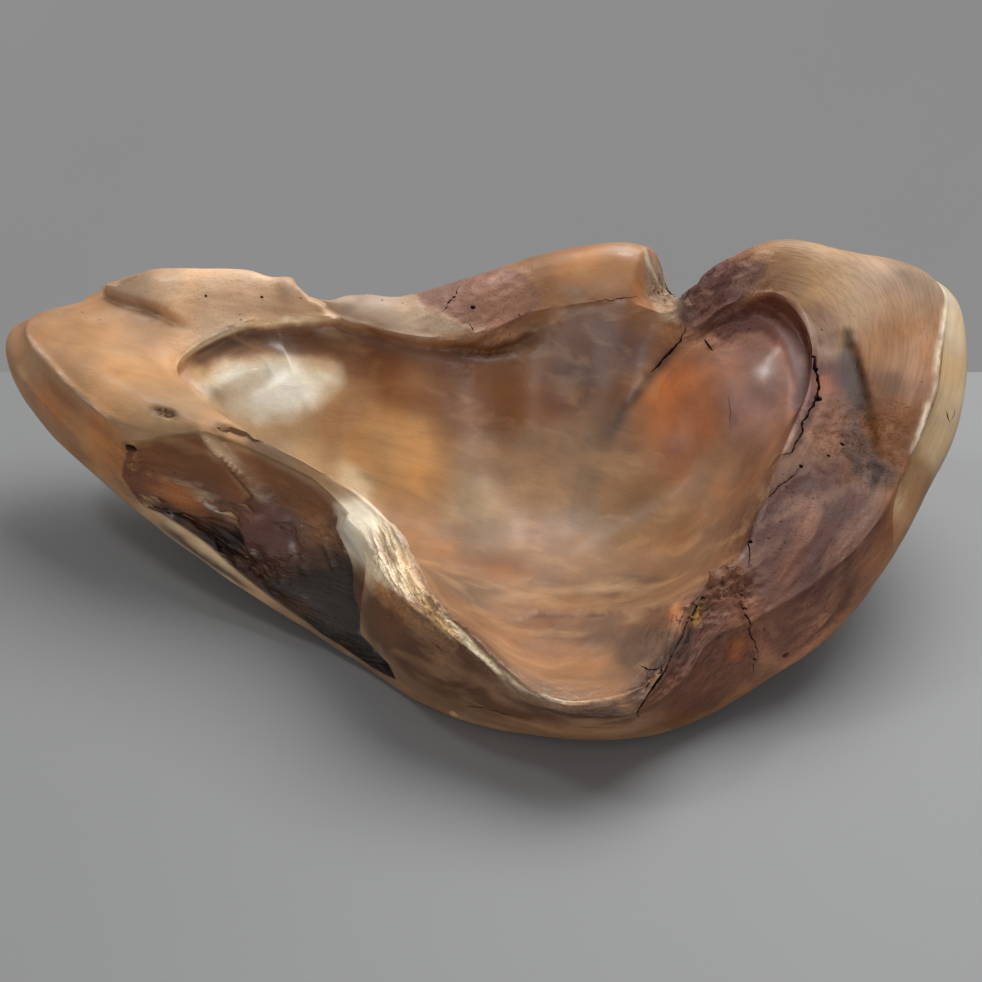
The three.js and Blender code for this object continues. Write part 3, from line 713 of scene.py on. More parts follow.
# Rows of degrees, distance, height, half width and half height, as in the part's source. Only the
# first rows of the recess's hollow differ, by a few millimetres, to follow its edge in the photo.
rooms = {
    "sapwood_end": [
        [-10, 178, 66, 10, 14], [-4, 186, 72, 20, 26], [4, 199, 82, 20, 32], [12, 217, 97, 20, 34],
        [20, 231, 113, 20, 34], [27, 238, 119, 18, 30], [32, 234, 120, 8, 14],
    ],
    "right_limb": [
        [-70, 150, 30, 32, 40], [-60, 146, 34, 40, 46], [-50, 140, 38, 44, 46], [-40, 138, 44, 46, 46],
        [-29, 141, 50, 45, 44], [-18, 148, 58, 45, 44], [-9, 155, 70, 47, 44], [0, 160, 80, 48, 44],
        [10, 175, 92, 50, 44], [20, 194, 106, 50, 44], [28, 206, 114, 49, 42], [35, 205, 118, 44, 38],
        [42, 186, 120, 42, 34], [48, 168, 118, 38, 32], [54, 165, 118, 28, 26],
    ],
    "back_strand": [
        [56, 158, 124, 22, 20], [62, 148, 122, 38, 30], [78, 140, 120, 42, 32], [90, 136, 116, 42, 32],
        [103, 132, 112, 46, 32], [116, 134, 110, 46, 30], [127, 144, 112, 42, 28],
        [134, 158, 116, 34, 24], [139, 172, 120, 22, 18],
    ],
    "left_lobe": [
        [133, 160, 112, 20, 20], [139, 178, 116, 40, 30], [144, 200, 118, 46, 32],
        [149, 222, 120, 48, 31], [153, 236, 119, 38, 24], [156, 246, 120, 20, 16],
    ],
    "recess_bark": [
        [168.5, 202, 64, 8, 10], [171, 186, 63, 22, 22], [173, 160, 64, 26, 29], [176, 138, 58, 28, 33],
        [180, 124, 54, 28, 34], [184, 112, 50, 29, 34], [188, 104, 45, 29, 31], [192, 97, 34, 28, 22],
        [196, 93, 25, 25, 15], [201, 88, 21, 22, 12], [208, 85, 18, 20, 11], [216, 83, 17, 17, 10],
        [224, 83, 17, 12, 8], [228, 84, 17, 5, 4],
    ],
    "recess_hollow": [
        [170.3, 200, 66, 5, 8], [171.5, 188, 66, 15, 19], [173, 166, 66, 21, 26], [176, 142, 60, 23, 31],
        [180, 128, 56, 23, 32], [184, 116, 52, 24, 32], [188, 108, 47, 24, 29], [192, 101, 35, 23, 20],
        [196, 97, 25, 20, 13], [201, 92, 21, 18, 10], [208, 89, 18, 16, 9], [216, 87, 17, 13, 8],
        [223, 87, 17, 8, 6],
    ],
    "under_root": [
        [159, 262, 62, 12, 10], [163, 240, 47, 26, 16], [168, 196, 25, 34, 16], [175, 150, 12, 36, 16],
        [184, 118, 4, 32, 18], [196, 88, 2, 28, 14], [212, 76, 0, 28, 15], [228, 74, 0, 28, 18],
        [245, 78, 0, 28, 22], [265, 86, 0, 28, 28], [281, 92, 0, 28, 32], [290, 94, 0, 28, 34],
        [300, 94, 0, 22, 22], [308, 94, 0, 12, 10],
    ],
}
wedgeEnd = -31  # where the short root at the front meets the right limb
knot = {
    "middle": (108, 64, 72),
    "facing": (-0.34, -0.6, 0.73),
    "uphill": (0.2, 0.5, 1),
    "halfSizes": (45, 45, 32),
}
frontPatch = {
    "middle": (30, -66, 37),
    "facing": (-0.17, 0.26, 0.95),
    "uphill": (0, 1, 0),
    "halfSizes": (42, 37, 9),
}


def alongStrand(rows, degrees):
    # A cubic through a strand's rows, which doesn't close on itself.
    table = np.array(rows, float)
    slope = np.gradient(table[:, 1:], table[:, 0], axis=0)
    slope[1:-1] = (table[2:, 1:] - table[:-2, 1:]) / (table[2:, :1] - table[:-2, :1])
    k = np.clip(np.searchsorted(table[:, 0], degrees, side="right") - 1, 0, len(table) - 2)
    span = (table[k + 1, 0] - table[k, 0])[:, None]
    t = (degrees - table[k, 0])[:, None] / span
    return hermite(table[k, 1:], slope[k] * span, table[k + 1, 1:], slope[k + 1] * span, t)


def strandGrid(rows, wobble, seed, step, sides):
    # Ellipses on the lines out from the origin, with the seam's waviness added.
    degrees = np.arange(rows[0][0], rows[-1][0] + 0.01, step)
    distance, height, halfWidth, halfHeight = (v[:, None] for v in alongStrand(rows, degrees).T)
    turn = (np.arange(sides) / sides * 2 * math.pi)[None]
    angle = np.radians(degrees)[:, None]
    reach = distance + halfWidth * np.cos(turn)
    level = height + halfHeight * np.sin(turn)
    grid = np.stack([reach * np.cos(angle), reach * np.sin(angle), level], -1)
    flat = np.cos(turn)
    outward = np.stack([flat * np.cos(angle), flat * np.sin(angle), np.sin(turn) + 0 * angle], -1)
    return grid + (wobble * layeredNoise(grid, 26, 4, seed))[..., None] * outward


def strandRoom(name, rows, wobble, seed):
    return sweepMesh(name, strandGrid(rows, wobble, seed, 1.0, 72))


def roundBall(stacks, sides):
    polar = np.linspace(0.04, math.pi - 0.04, stacks)[:, None]
    turn = (np.arange(sides) / sides * 2 * math.pi)[None]
    flat = np.sin(polar)
    return np.stack([flat * np.cos(turn), flat * np.sin(turn), np.cos(polar) + 0 * turn], -1)


def eggRoom(name, settings, seed):
    # A ball drawn out to three half sizes and laid against the surface.
    across = np.array(settings["facing"], float)
    across /= np.linalg.norm(across)
    up = np.array(settings["uphill"], float)
    up -= up @ across * across
    up /= np.linalg.norm(up)
    axes = np.array([np.cross(up, across), up, across])
    ball = roundBall(60, 96)
    grid = (ball * settings["halfSizes"]) @ axes + settings["middle"]
    return sweepMesh(name, grid + 1.2 * layeredNoise(grid, 20, 3, seed)[..., None] * (ball @ axes))


# Cracks, pits and the packing in the widest cracks

cracks = {
    # path, half width, depth, how jagged
    "knot_crack_filler": (
        ((797, 318), (808, 336), (814, 357), (815, 372), (819, 388), (816, 402), (807, 417),
         (801, 434), (790, 453), (770, 466)), 0.75, 5, 0.7,
    ),
    "notch_crack_filler": (((686, 327), (680, 342), (664, 358), (651, 373)), 0.8, 5, 0.6),
    "front_crack_filler": (
        ((716, 575), (708, 592), (696, 604), (688, 626), (675, 650), (660, 673), (643, 693)),
        0.7, 6, 0.5,
    ),
    "short crack": (((703, 338), (707, 344), (712, 351)), 0.8, 4, 0.5),
    "limb crack": (((801, 468), (790, 479), (776, 491), (762, 506)), 0.55, 4, 0.8),
    "limb crack low": (((757, 514), (751, 530), (748, 548), (749, 566)), 0.45, 4, 0.8),
    "wedge seam": (((741, 584), (745, 615), (754, 650), (752, 672)), 0.45, 4, 0.7),
    "rim crack": (((430, 642), (437, 648), (443, 653)), 0.5, 4, 0.8),
    "bottom seam": (((449, 702), (481, 708), (515, 718), (535, 722)), 0.4, 4, 0.7),
    "second bottom seam": (((567, 727), (595, 729), (622, 725)), 0.4, 4, 0.7),
    "patch crack": (((638, 665), (652, 668), (662, 661)), 0.5, 4, 0.5),
    "bark slit": (((471, 322), (473, 331)), 0.55, 4, 0.5),
    "bark seam": (((440, 312), (452, 300), (461, 285)), 0.35, 4, 0.8),
    "sapwood mark": (((945, 411), (950, 423)), 0.55, 4, 0.4),
    "sapwood mark 2": (((954, 409), (951, 421)), 0.45, 4, 0.4),
    "knot vein": (((735, 395), (738, 412), (736, 428)), 0.3, 3, 0.5),
    "nose slit": (((155, 409), (164, 412), (173, 415)), 1.7, 2.0, 0.1),
    "rim slit": (((217, 427), (228, 429), (242, 434), (257, 441)), 2.2, 2.2, 0.1),
    "hollow edge": (((590, 300), (640, 296)), 0.3, 3, 0.6),
}
pits = {
    # place, radius, depth
    "hole by the recess": ((131, 449), 3.0, 8),
    "bark hole": ((473, 307), 1.3, 4),
    "bark swirl": ((375, 298), 1.2, 2),
    "lobe pit": ((206, 296), 0.8, 2),
    "lobe pit 2": ((262, 297), 0.8, 2),
    "limb pit": ((829, 455), 0.9, 3),
    "limb pit 2": ((845, 441), 1.4, 3),
    "limb pit 3": ((801, 466), 1.2, 3),
    "limb pit 4": ((750, 541), 1.2, 3),
    "knot hole": ((815, 370), 1.5, 5),
    "knot hole 2": ((818, 399), 2.0, 5),
    "notch hole": ((667, 300), 2.2, 6),
    "notch hole 2": ((679, 290), 1.8, 6),
    "notch hole 3": ((655, 290), 1.1, 4),
    "chip": ((786, 655), 2.0, 4),
}


# Shares of a wedge's half width at its top, waist and root, and how deep its waist lies.
blade = {"top": 1.1, "waist": 0.6, "root": 0.1, "waistDepth": 0.4}


def crackBlade(name, path, halfWidth, depth, jagged, seed, top=2.5):
    # A thin wedge on edge: wide at its top, above the surface, narrower at its waist and thin at its
    # root, its sides jittered. It tapers towards the ends of its path.
    points, facing = ontoWood(line(path, 1.4))
    chance = np.random.default_rng(seed)
    forward = np.gradient(points, axis=0)
    side = np.cross(forward, facing)
    side /= np.linalg.norm(side, axis=1, keepdims=True)
    share = np.linspace(0, 1, len(points))
    fullness = (0.2 + 0.8 * np.sin(math.pi * share) ** 0.7)[:, None]
    steps = chance.normal(size=len(points) + 2)
    wander = jagged * np.convolve(steps, [0.25, 0.5, 0.25], "valid")[:, None]
    middle = points + side * wander
    left, right = (
        halfWidth * fullness * (1 + jagged * chance.uniform(-0.6, 0.6, fullness.shape)) for _ in range(2)
    )
    waist, root = facing * depth * blade["waistDepth"] * fullness, facing * depth * fullness
    sections = [
        middle + facing * top + side * right * blade["top"],
        middle - waist + side * right * blade["waist"],
        middle - root + side * right * blade["root"],
        middle - root - side * left * blade["root"],
        middle - waist - side * left * blade["waist"],
        middle + facing * top - side * left * blade["top"],
    ]
    return sweepMesh(name, np.stack(sections, axis=1))


packing = {"wider": 2.2, "deeper": 1.7, "top": -1.5}


def fillerRoom(name, seed):
    # The same wedge as the crack's, wider and deeper, and starting under the surface.
    path, halfWidth, depth, jagged = cracks[name]
    wide, deep = halfWidth * packing["wider"], depth * packing["deeper"]
    return crackBlade("room", path, wide, deep, jagged, seed, packing["top"])


def pitLump(name, place, radius, depth, seed):
    # A rough egg pushed into the surface.
    (point,), (facing,) = ontoWood([spot(place)[0]])
    across = np.cross(facing, (0.3, 0.2, 1))
    across /= np.linalg.norm(across)
    axes = np.array([across, np.cross(facing, across), facing])
    ball = roundBall(12, 18)
    ball *= 1 + 0.3 * smoothNoise(ball + seed * 7, 0.9, seed)[..., None]
    return sweepMesh(name, point + (ball * (radius, radius * 0.8, depth)) @ axes)


def apartBatches(tools):
    # Groups of tools whose boxes don't touch, so that each group can be cut out at one go.
    batches = []
    for tool in tools:
        points = pointsOf(tool)
        low, high = points.min(0) - 0.5, points.max(0) + 0.5
        for batch in batches:
            if all(np.any(high < other[0]) or np.any(low > other[1]) for _, other in batch):
                batch.append((tool, (low, high)))
                break
        else:
            batches.append([(tool, (low, high))])
    return [[tool for tool, _ in batch] for batch in batches]


def joinMeshes(name, things):
    points, faces, start = [], [], 0
    for thing in things:
        mesh = thing.data
        corners = np.empty(len(mesh.loops), np.int32)
        mesh.loops.foreach_get("vertex_index", corners)
        points.append(pointsOf(thing))
        faces.append(corners.reshape(-1, 3) + start)
        start += len(mesh.vertices)
        discard(thing)
    return meshFrom(name, np.concatenate(points), np.concatenate(faces))


def cutAway(thing, tools):
    for batch in apartBatches(tools):
        tool = joinMeshes("tools", batch)
        result = combined(thing, tool, "DIFFERENCE", thing.name)
        discard(tool)
        discard(thing)
        thing = result
    return thing


# The hollow of the recess, whose far wall is the old bark

innerSpurPath = ((203, 434), (214, 448), (235, 473), (255, 492), (272, 509))
recess = {
    # path as seen on the far wall, half width, height towards the viewer
    "ridges": [
        (innerSpurPath, 2.2, 7.5),
        (innerSpurPath, 6.0, 4.5),
        (((272, 509), (290, 513), (312, 514), (338, 514)), 2.6, 6.0),
        (((148, 470), (170, 462), (192, 470), (208, 486), (222, 506)), 2.6, 3.6),
        (((142, 488), (163, 486), (186, 495), (203, 510)), 3.0, 3.6),
        (((160, 503), (185, 510), (205, 512)), 2.2, 2.6),
        (((300, 518), (306, 545), (304, 570)), 1.8, 2.4),
        (((318, 518), (326, 540), (333, 566)), 1.6, 2.0),
        (((168, 524), (190, 536), (214, 548)), 2.4, 2.8),
        (((222, 552), (238, 566), (258, 584)), 2.6, 2.6),
        (((246, 520), (252, 545), (262, 574)), 2.2, 3.0),
    ],
    # place on the far wall, radius, height towards the viewer
    "lumps": [
        ((274, 540), 12, 8.0),
        ((262, 526), 6, 3.0),
        ((288, 552), 6, 3.0),
        ((292, 478), 17, 7.0),
        ((318, 498), 9, 5.0),
        ((172, 492), 8, 3.0),
        ((166, 520), 5, 3.0),
        ((212, 511), 5, 3.0),
        ((236, 538), 4.0, -0.4),
        ((196, 484), 4.0, -0.4),
    ],
    "grit": [(13, 2.4), (5, 0.9)],  # size and height of its roughness
    "gritEnd": {"degrees": 193, "fade": 5, "left": 0.06},  # where the grit ends, and what is left
    "smooth": [((330, 585), 20), ((306, 600), 14), ((346, 622), 16), ((366, 650), 14)],
    "mostRelief": 0.6,  # as a share of the hollow's half height
    "edge": {"size": 1.09, "fade": 0.05},  # where its colours end, as a share of its ellipse
}


def buildHollow(rows):
    # A tube along the recess whose wall is pushed in by the relief. The smooth dark end of the
    # recess gets none of the grit.
    coarseStep, fineStep = (1.5, 60), (0.5, 170)
    step, sides = fineStep
    grid = strandGrid(rows, 0.6, 12, step, sides).transpose(1, 0, 2)
    inward = gridNormals(grid)
    if np.sum(inward * (grid - grid.mean(0))) > 0:
        inward = -inward
    points = grid.reshape(-1, 3)
    degrees = np.degrees(np.arctan2(points[:, 1], points[:, 0])) % 360
    moved = np.zeros(len(points))
    for size, height in recess["grit"]:
        moved += height * (ridgedNoise(points, size, 3, 21) - 0.5)
    ending = recess["gritEnd"]
    moved *= np.clip((ending["degrees"] - degrees) / ending["fade"], ending["left"], 1)
    for place, radius in recess["smooth"]:
        middle, _ = castOnto(grid, inward, place, farthest=True)
        away = np.linalg.norm(points - middle, axis=1)
        moved *= 1 - 0.95 * np.exp(-((away / radius) ** 4))
    for path, width, height in recess["ridges"]:
        places = [castOnto(grid, inward, place, farthest=True)[0] for place in path]
        distance, _, _, _ = nearLine(points, evenPath(places, 2), 4 * width)
        moved += height * np.exp(-((distance / width) ** 2))
    for place, radius, height in recess["lumps"]:
        middle, _ = castOnto(grid, inward, place, farthest=True)
        moved += height * np.exp(-((np.linalg.norm(points - middle, axis=1) / radius) ** 2))
    halfHeight = alongStrand(rows, np.clip(degrees, rows[0][0], rows[-1][0]))[:, 3]
    moved = np.minimum(moved, recess["mostRelief"] * halfHeight).reshape(grid.shape[:2])
    return grid + moved[..., None] * inward, inward


hollowGrid, hollowNormals = buildHollow(rooms["recess_hollow"])


@functools.cache
def recessSpot(place):
    return castOnto(hollowGrid, hollowNormals, place, farthest=True)


# Parting the strands

tools = [crackBlade(name, *values, seed=k) for k, (name, values) in enumerate(cracks.items())]
tools += [pitLump(name, *values, seed=k) for k, (name, values) in enumerate(pits.items())]
tools += [sweepMesh("hollow", hollowGrid.transpose(1, 0, 2))]
wood = meshFrom("wood", *closeGrid(masterGrid, (0, 0, 0), (0, 0, form["floorHeight"])))
pieces = {"root_body": cutAway(wood, tools)}
print("cracks cut:", len(pieces["root_body"].data.polygons), "faces")


def take(name, room):
    # Parts the wood inside the room from the root body.
    body = pieces["root_body"]
    pieces[name] = keepLargest(combined(body, room, "INTERSECT", name + "_wood"))
    pieces["root_body"] = keepLargest(combined(body, room, "DIFFERENCE", "root_body_wood"))
    discard(body)
    discard(room)
    print("parted", name, len(pieces[name].data.polygons), "faces")


for k, name in enumerate(cracks):
    if name.endswith("_filler"):
        take(name, fillerRoom(name, seed=k))
take("knot", eggRoom("room", knot, seed=3))
take("front_patch", eggRoom("room", frontPatch, seed=4))
wedgeRows = [row for row in rooms["right_limb"] if row[0] < wedgeEnd]
wedgeRows.append([wedgeEnd, *alongStrand(rooms["right_limb"], np.array([wedgeEnd]))[0]])
wobbles = {  # how far the seam of each strand wanders, in the order of parting
    "sapwood_end": 0.6,
    "front_wedge": 1.8,
    "right_limb": 1.6,
    "back_strand": 1.4,
    "left_lobe": 1.2,
    "recess_bark": 1.0,
    "under_root": 1.2,
}
for seed, (name, wobble) in enumerate(wobbles.items(), start=5):
    take(name, strandRoom("room", rooms.get(name, wedgeRows), wobble, seed))


# Colours that follow the wood

# How noise pushes the borders of the colours about: reach, size of the noise and seed.
breakUps = {
    "tones": (6, 34, 31),
    "strokes": (1.0, 9, 71),
    "sapwood": (5, 20, 35),
    "bark": (3, 14, 41),
    "strokes on bark": (0.8, 7, 44),
}
clouds = {"lightSize": 22, "light": 0.2, "warmSize": 34, "warm": (0.1, -0.01, -0.18)}
fillerTone = (34, 24, 20)
creaseAngle = 38  # degrees between faces from which an edge stays sharp

# Named tones of the sanded wood: place, radius, colour as it reads in plain light. Those marked
# below also hold painted shade, a painted highlight or a painted reflection.
tones = {
    "nose top": ((75, 345), 40, (176, 134, 94)),
    "nose tip": ((26, 325), 14, (174, 128, 92)),
    "nose facet": ((55, 400), 18, (172, 108, 58)),
    "nose facet low": ((105, 440), 16, (188, 120, 60)),
    "nose right": ((150, 385), 22, (176, 136, 94)),
    # Pale underside band, lifted by a painted reflection of the floor.
    "shell": ((215, 572), 28, (206, 176, 140)),
    "shell low": ((330, 660), 16, (140, 112, 90)),
    "lobe": ((220, 300), 30, (222, 182, 144)),
    "lobe left": ((130, 288), 16, (166, 132, 104)),
    "lobe peak": ((292, 290), 10, (186, 152, 124)),
    # Pale polished wood, lifted by a painted highlight.
    "pocket": ((275, 385), 26, (226, 190, 140)),
    "pocket low": ((330, 415), 16, (200, 162, 120)),
    # Brown wood and painted shade on the steep wall under the pocket's lip.
    "pocket wall in painted shade": ((300, 345), 11, (108, 66, 34)),
    "back wall left": ((380, 360), 20, (118, 72, 40)),
    "back wall": ((470, 368), 22, (126, 80, 42)),
    "back wall low": ((500, 410), 20, (122, 76, 40)),
    "back wall right": ((590, 345), 20, (98, 58, 36)),
    "wall corner": ((625, 350), 12, (106, 66, 50)),
    "floor left": ((390, 450), 26, (220, 168, 110)),
    "floor middle": ((540, 470), 26, (150, 116, 82)),
    "floor grey": ((470, 500), 16, (206, 178, 148)),
    "floor right": ((630, 530), 22, (126, 88, 46)),
    "floor front": ((560, 590), 22, (108, 82, 58)),
    "floor front left": ((470, 590), 16, (116, 88, 64)),
    "floor far left": ((355, 482), 12, (255, 226, 180)),
    "floor by the wedge": ((630, 590), 16, (84, 58, 40)),
    "back wall middle": ((572, 385), 16, (84, 40, 12)),
    "knot orange": ((680, 405), 16, (200, 122, 68)),
    "knot low": ((715, 470), 18, (160, 120, 88)),
    "knot side": ((765, 400), 20, (164, 124, 110)),
    "knot top": ((735, 345), 12, (170, 124, 110)),
    "knot arch": ((775, 310), 10, (158, 84, 40)),
    "patch left": ((510, 645), 16, (156, 112, 78)),
    "patch middle": ((575, 660), 14, (156, 110, 74)),
    "patch right": ((635, 645), 14, (96, 72, 56)),
    "strand left": ((400, 318), 13, (174, 148, 124)),
    "strand block": ((600, 272), 24, (174, 124, 80)),
    "strand block low": ((575, 310), 12, (114, 82, 62)),
    "notch": ((668, 296), 9, (122, 104, 86)),
    "rough band": ((715, 290), 16, (136, 92, 76)),
    "rim top": ((850, 272), 30, (170, 138, 104)),
    "rim shoulder": ((815, 325), 11, (126, 98, 82)),
    "rim orange": ((900, 340), 18, (142, 96, 50)),
    "limb band top": ((832, 375), 12, (78, 36, 18)),
    "limb bark": ((868, 465), 12, (46, 26, 20)),
    "rim crest": ((892, 288), 15, (108, 80, 52)),
    "rim side": ((893, 385), 12, (104, 68, 38)),
    "limb edge": ((895, 430), 20, (112, 66, 26)),
    "limb edge low": ((880, 520), 16, (100, 60, 38)),
    "limb valley": ((858, 410), 11, (94, 66, 54)),
    "limb purple": ((800, 540), 32, (80, 48, 38)),
    "limb band": ((830, 420), 13, (106, 68, 50)),
    "limb low": ((800, 630), 16, (188, 128, 100)),
    "wedge": ((715, 640), 20, (110, 70, 52)),
    "wedge low": ((690, 705), 13, (116, 68, 34)),
    "wedge left": ((682, 655), 9, (54, 28, 14)),
    # Brown wood, darkened by painted shade on the front wall, which faces away from the light.
    "front wall": ((450, 670), 20, (92, 52, 24)),
    "front wall low": ((500, 705), 16, (156, 118, 90)),
    # Pale broken wood of the spur, with painted highlights on its fibres.
    "spur": ((360, 545), 14, (252, 232, 200)),
    "facet below the spur": ((385, 610), 12, (178, 116, 66)),
    "lip strip": ((300, 452), 13, (220, 190, 146)),
    "outside": ((0, 190, 60), 90, (146, 102, 68)),
    "outside right": ((200, -20, 50), 60, (150, 104, 72)),
    "underside": ((0, 0, -30), 90, (150, 112, 80)),
}

# Outlined areas: corners, softness of the border in pixels, colour, strength. Those marked below,
# and those named so, are painted shade or painted highlights.
areas = {
    "bark on the back strand": (
        ((415, 292), (454, 272), (504, 267), (529, 277), (541, 297), (536, 315), (514, 327), (484, 335),
         (459, 322), (442, 312), (420, 305)), 5, (136, 98, 84), 0.85,
    ),
    "grey of the back strand": (
        ((330, 304), (345, 290), (375, 289), (412, 294), (422, 306), (445, 316), (466, 330), (420, 336),
         (377, 326), (346, 325)), 7, (184, 160, 136), 0.7,
    ),
    "rough band": (
        ((684, 290), (700, 268), (738, 259), (766, 263), (758, 282), (744, 300), (722, 316), (704, 334),
         (690, 330)), 7, (104, 70, 64), 0.85,
    ),
    "shade under the arch": (
        ((708, 330), (746, 303), (775, 293), (795, 304), (808, 330), (816, 362), (819, 398), (812, 424),
         (798, 446), (793, 418), (794, 392), (789, 366), (778, 346), (760, 332), (738, 334), (722, 344)),
        6, (90, 44, 32), 0.9,
    ),
    "sheen of the knot": (
        ((742, 345), (766, 338), (784, 354), (786, 384), (772, 404), (750, 396), (738, 370)),
        18, (104, 80, 78), 0.6,
    ),
    # Painted highlight: the pale glossy patch on the floor of the pocket.
    "painted highlight in the pocket": (
        ((200, 384), (226, 367), (262, 361), (302, 361), (336, 368), (340, 382), (318, 402), (290, 418),
         (258, 420), (228, 408)), 20, (255, 250, 226), 0.97,
    ),
    "orange of the knot": (
        ((652, 380), (688, 356), (716, 380), (724, 420), (712, 452), (684, 478), (658, 470), (642, 440)),
        30, (180, 100, 48), 0.5,
    ),
    "purple of the limb": (
        ((756, 520), (776, 494), (806, 470), (842, 456), (862, 500), (852, 560), (818, 628), (780, 660),
         (757, 640), (750, 590)), 14, (80, 48, 40), 0.75,
    ),
    "valley of the limb": (
        ((838, 426), (852, 418), (870, 438), (882, 466), (878, 502), (864, 482), (846, 456)),
        8, (56, 38, 30), 0.75,
    ),
    # Grey-brown of the limb's valley, darkened by painted shade on its side turned from the light.
    "dark of the limb's valley": (
        ((846, 328), (853, 333), (863, 366), (870, 398), (862, 412), (846, 398), (839, 372), (841, 345)),
        7, (46, 30, 20), 0.8,
    ),
    "shade of the patch": (
        ((500, 620), (536, 614), (567, 613), (600, 618), (640, 611), (672, 608), (670, 626), (632, 634),
         (602, 644), (562, 642), (520, 632)), 9, (112, 76, 56), 0.55,
    ),
    "wedge": (
        ((717, 575), (735, 570), (744, 590), (750, 640), (752, 676), (715, 708), (640, 712), (662, 674),
         (686, 638), (692, 606)), 6, (98, 60, 46), 0.7,
    ),
    "facet by the recess": (facetCorners, 8, (134, 84, 48), 0.95),
    "top of the recess": (recessTopCorners, 8, (126, 72, 34), 0.95),
    # Brown wood, darkened by painted shade on the front wall, which faces away from the light.
    "front wall": (
        ((347, 562), (385, 602), (420, 634), (455, 657), (488, 690), (504, 704), (560, 713), (642, 709),
         (632, 722), (560, 724), (500, 718), (440, 692), (400, 668), (372, 642), (352, 604)),
        9, (84, 50, 26), 0.85,
    ),
    # Pale broken wood of the spur, with painted highlights on its fibres.
    "broken spur": (
        ((334, 505), (364, 498), (388, 526), (410, 562), (426, 598), (408, 598), (378, 580), (344, 550)),
        8, (255, 236, 204), 0.97,
    ),
    # Brown wood and painted shade on the steep wall under the pocket's lip.
    "painted shade on the wall of the pocket": (
        ((188, 358), (196, 344), (225, 331), (262, 326), (300, 323), (340, 322), (354, 340), (346, 360),
         (300, 353), (262, 356), (225, 359), (203, 372)), 10, (104, 64, 28), 0.85,
    ),
    "broken end at the notch": (
        ((646, 250), (656, 264), (672, 282), (684, 302), (679, 324), (664, 322), (646, 292)),
        3, (152, 130, 108), 0.85,
    ),
}
